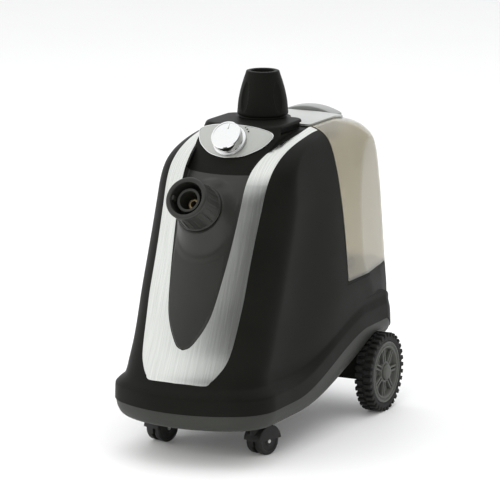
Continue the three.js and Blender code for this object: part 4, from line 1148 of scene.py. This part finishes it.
def makeTray():
    tray = cut(bowl(0, 0, 0), bowl(shell["wall"], shell["wall"], 30))
    for side in (-1, 1):
        cut(tray, placed(rod("arch", archR, 92, 130, 128), sideways(side, 0, rearWheel.y, rearWheel.z)))
    makePiece(tray, "lowerTray", "base", "tray_plastic", ["base_tray"], weighted=True)


makeTray()
print("lower tray")


# Rear wheels

wheel = {"r": 50.9, "half": 11, "rimR": 39.5, "tread": 47.6, "lugs": 34, "spokes": 7, "capR": 10.2}


def makeWheel(side, sideName):
    body, r, half = sideName + "_wheel", wheel["r"], wheel["half"]
    tread, beadR = wheel["tread"], wheel["rimR"] + 0.35
    axis = sideways(side, side * rearWheel.x, rearWheel.y, rearWheel.z)
    section = [(beadR, -10.4), (45, -half), (tread, -9), (tread, 9), (45, half), (beadR, 10.4)]
    carcass = lathe("tyre", rounded(section, 1.2, 3), 128)
    lugs = []
    pitch = 2 * math.pi / wheel["lugs"]
    for low, high, phase in ((-half, -1.2, 0), (1.2, half, pitch / 2)):
        lug = bevelled(block("lug", (tread - 3.2, r), (-2.5, 2.5), (low, high)), 0.7, 2)
        lugs.append(ringOf(lug, wheel["lugs"], "tyre_rubber", phase))
    tyre = placed(joined([carcass, *lugs]), axis)
    makePiece(tyre, sideName + "Tyre", body, "tyre_rubber", [sideName + "_tyre"])
    disc = [
        (4.4, -9), (12, -9), (12, -4), (33, -4), (34, -10.6), (wheel["rimR"], -10.6), (wheel["rimR"], 10.6),
        (37.2, 10.9), (36.4, 9.2), (34.6, 9.2), (33.8, 10.6), (31.6, 10.2), (29.5, 4.6), (14.5, 4.6),
        (13.4, 9), (10.6, 9), (10.6, 7), (4.4, 7),
    ]
    hub = lathe("wheelHub", rounded(disc, 0.6, 3), 128)
    spokes = []
    for offset in (-2.5, 2.5):
        rail = bevelled(block("spoke", (12.4, 31.6), (offset - 1.25, offset + 1.25), (3.4, 9.2)), 0.5, 2)
        spokes.append(ringOf(rail, wheel["spokes"], "wheel_grey", math.pi / 2))
    hub = placed(joined([hub, *spokes]), axis)
    makePiece(hub, sideName + "WheelHub", body, "wheel_grey", [sideName + "_wheel_hub"])
    dome = [(0, 8), (wheel["capR"], 8), (wheel["capR"], 11), (8.4, 13), (5, 13.7), (0, 14)]
    cover = placed(lathe("wheelCap", rounded(dome, 0.9, 4, loop=False), 72), axis)
    makePiece(cover, sideName + "WheelCap", body, "wheel_grey", [sideName + "_wheel_cover"])


for side, sideName in ((-1, "left"), (1, "right")):
    makeWheel(side, sideName)
print("rear wheels")


# Castors

caster = {"r": 17.4, "trail": 12, "near": 3.1, "far": 12, "hood": 3}


def makeCaster(side, sideName):
    swivel = joints[sideName + "_caster_swivel"]
    pivot = Vector(swivel["pos_m"])
    axle = Vector(joints[sideName + "_inner_caster_roll"]["axis"])
    yaw = math.atan2(axle.y, axle.x)
    place = Matrix.Translation((pivot.x, pivot.y, 0)) @ Matrix.Rotation(yaw, 4, "Z")
    onAxle = sideways(1, 0, caster["trail"], caster["r"])
    body, r, far = sideName + "_swivel", caster["r"], caster["far"]
    hood = bevelled(placed(rod("hood", r + caster["hood"], -far - 1.2, far + 1.2), onAxle), 1.6, 4)
    cut(hood, placed(rod("hollow", r + 1.2, -far - 0.4, far + 0.4), onAxle))
    cut(hood, block("below", (-40, 40), (-40, 60), (-40, r + 2)))
    web = cut(placed(rod("web", r + 2, -2.5, 2.5), onAxle), block("cut", (-10, 10), (-40, 60), (-40, r - 6)))
    cut(hood, web, "UNION")
    boss = bevelled(rod("boss", 7, r + 6, 44, 64), 0.6)
    cut(boss, placed(rod("clear", r + 1.2, -30, 30), onAxle))
    cut(hood, boss, "UNION")
    cut(hood, placed(rod("axleHole", 2.8, -30, 30, 32), onAxle))
    hood = placed(hood, place)
    makePiece(hood, sideName + "CasterHood", body, "caster_plastic", [sideName + "_caster_hood"], 35)
    near = caster["near"]
    for placeName, low, high in (("inner", -side * far, -side * near), ("outer", side * near, side * far)):
        inside, outside = sorted((low, high), key=abs)
        face = 1 if outside > 0 else -1
        dish = outside - face * 1.1
        profile = [
            (2.8, inside), (r - 0.4, inside), (r, inside + face), (r, outside - face * 1.6),
            (r - 1.8, outside), (r - 4.4, outside), (r - 5.2, dish), (6, dish),
            (5.2, outside), (2.8, outside),
        ]
        disc = placed(placed(lathe("casterWheel", rounded(profile, 0.6, 3), 96), onAxle), place)
        wheelBody = f"{sideName}_{placeName}_caster"
        node = f"{sideName}_caster_{placeName}_wheel"
        discName = sideName + placeName.capitalize() + "CasterWheel"
        makePiece(disc, discName, wheelBody, "caster_plastic", [node])


for side, sideName in ((-1, "left"), (1, "right")):
    makeCaster(side, sideName)
print("castors")

bpy.data.objects.remove(outerSkin)
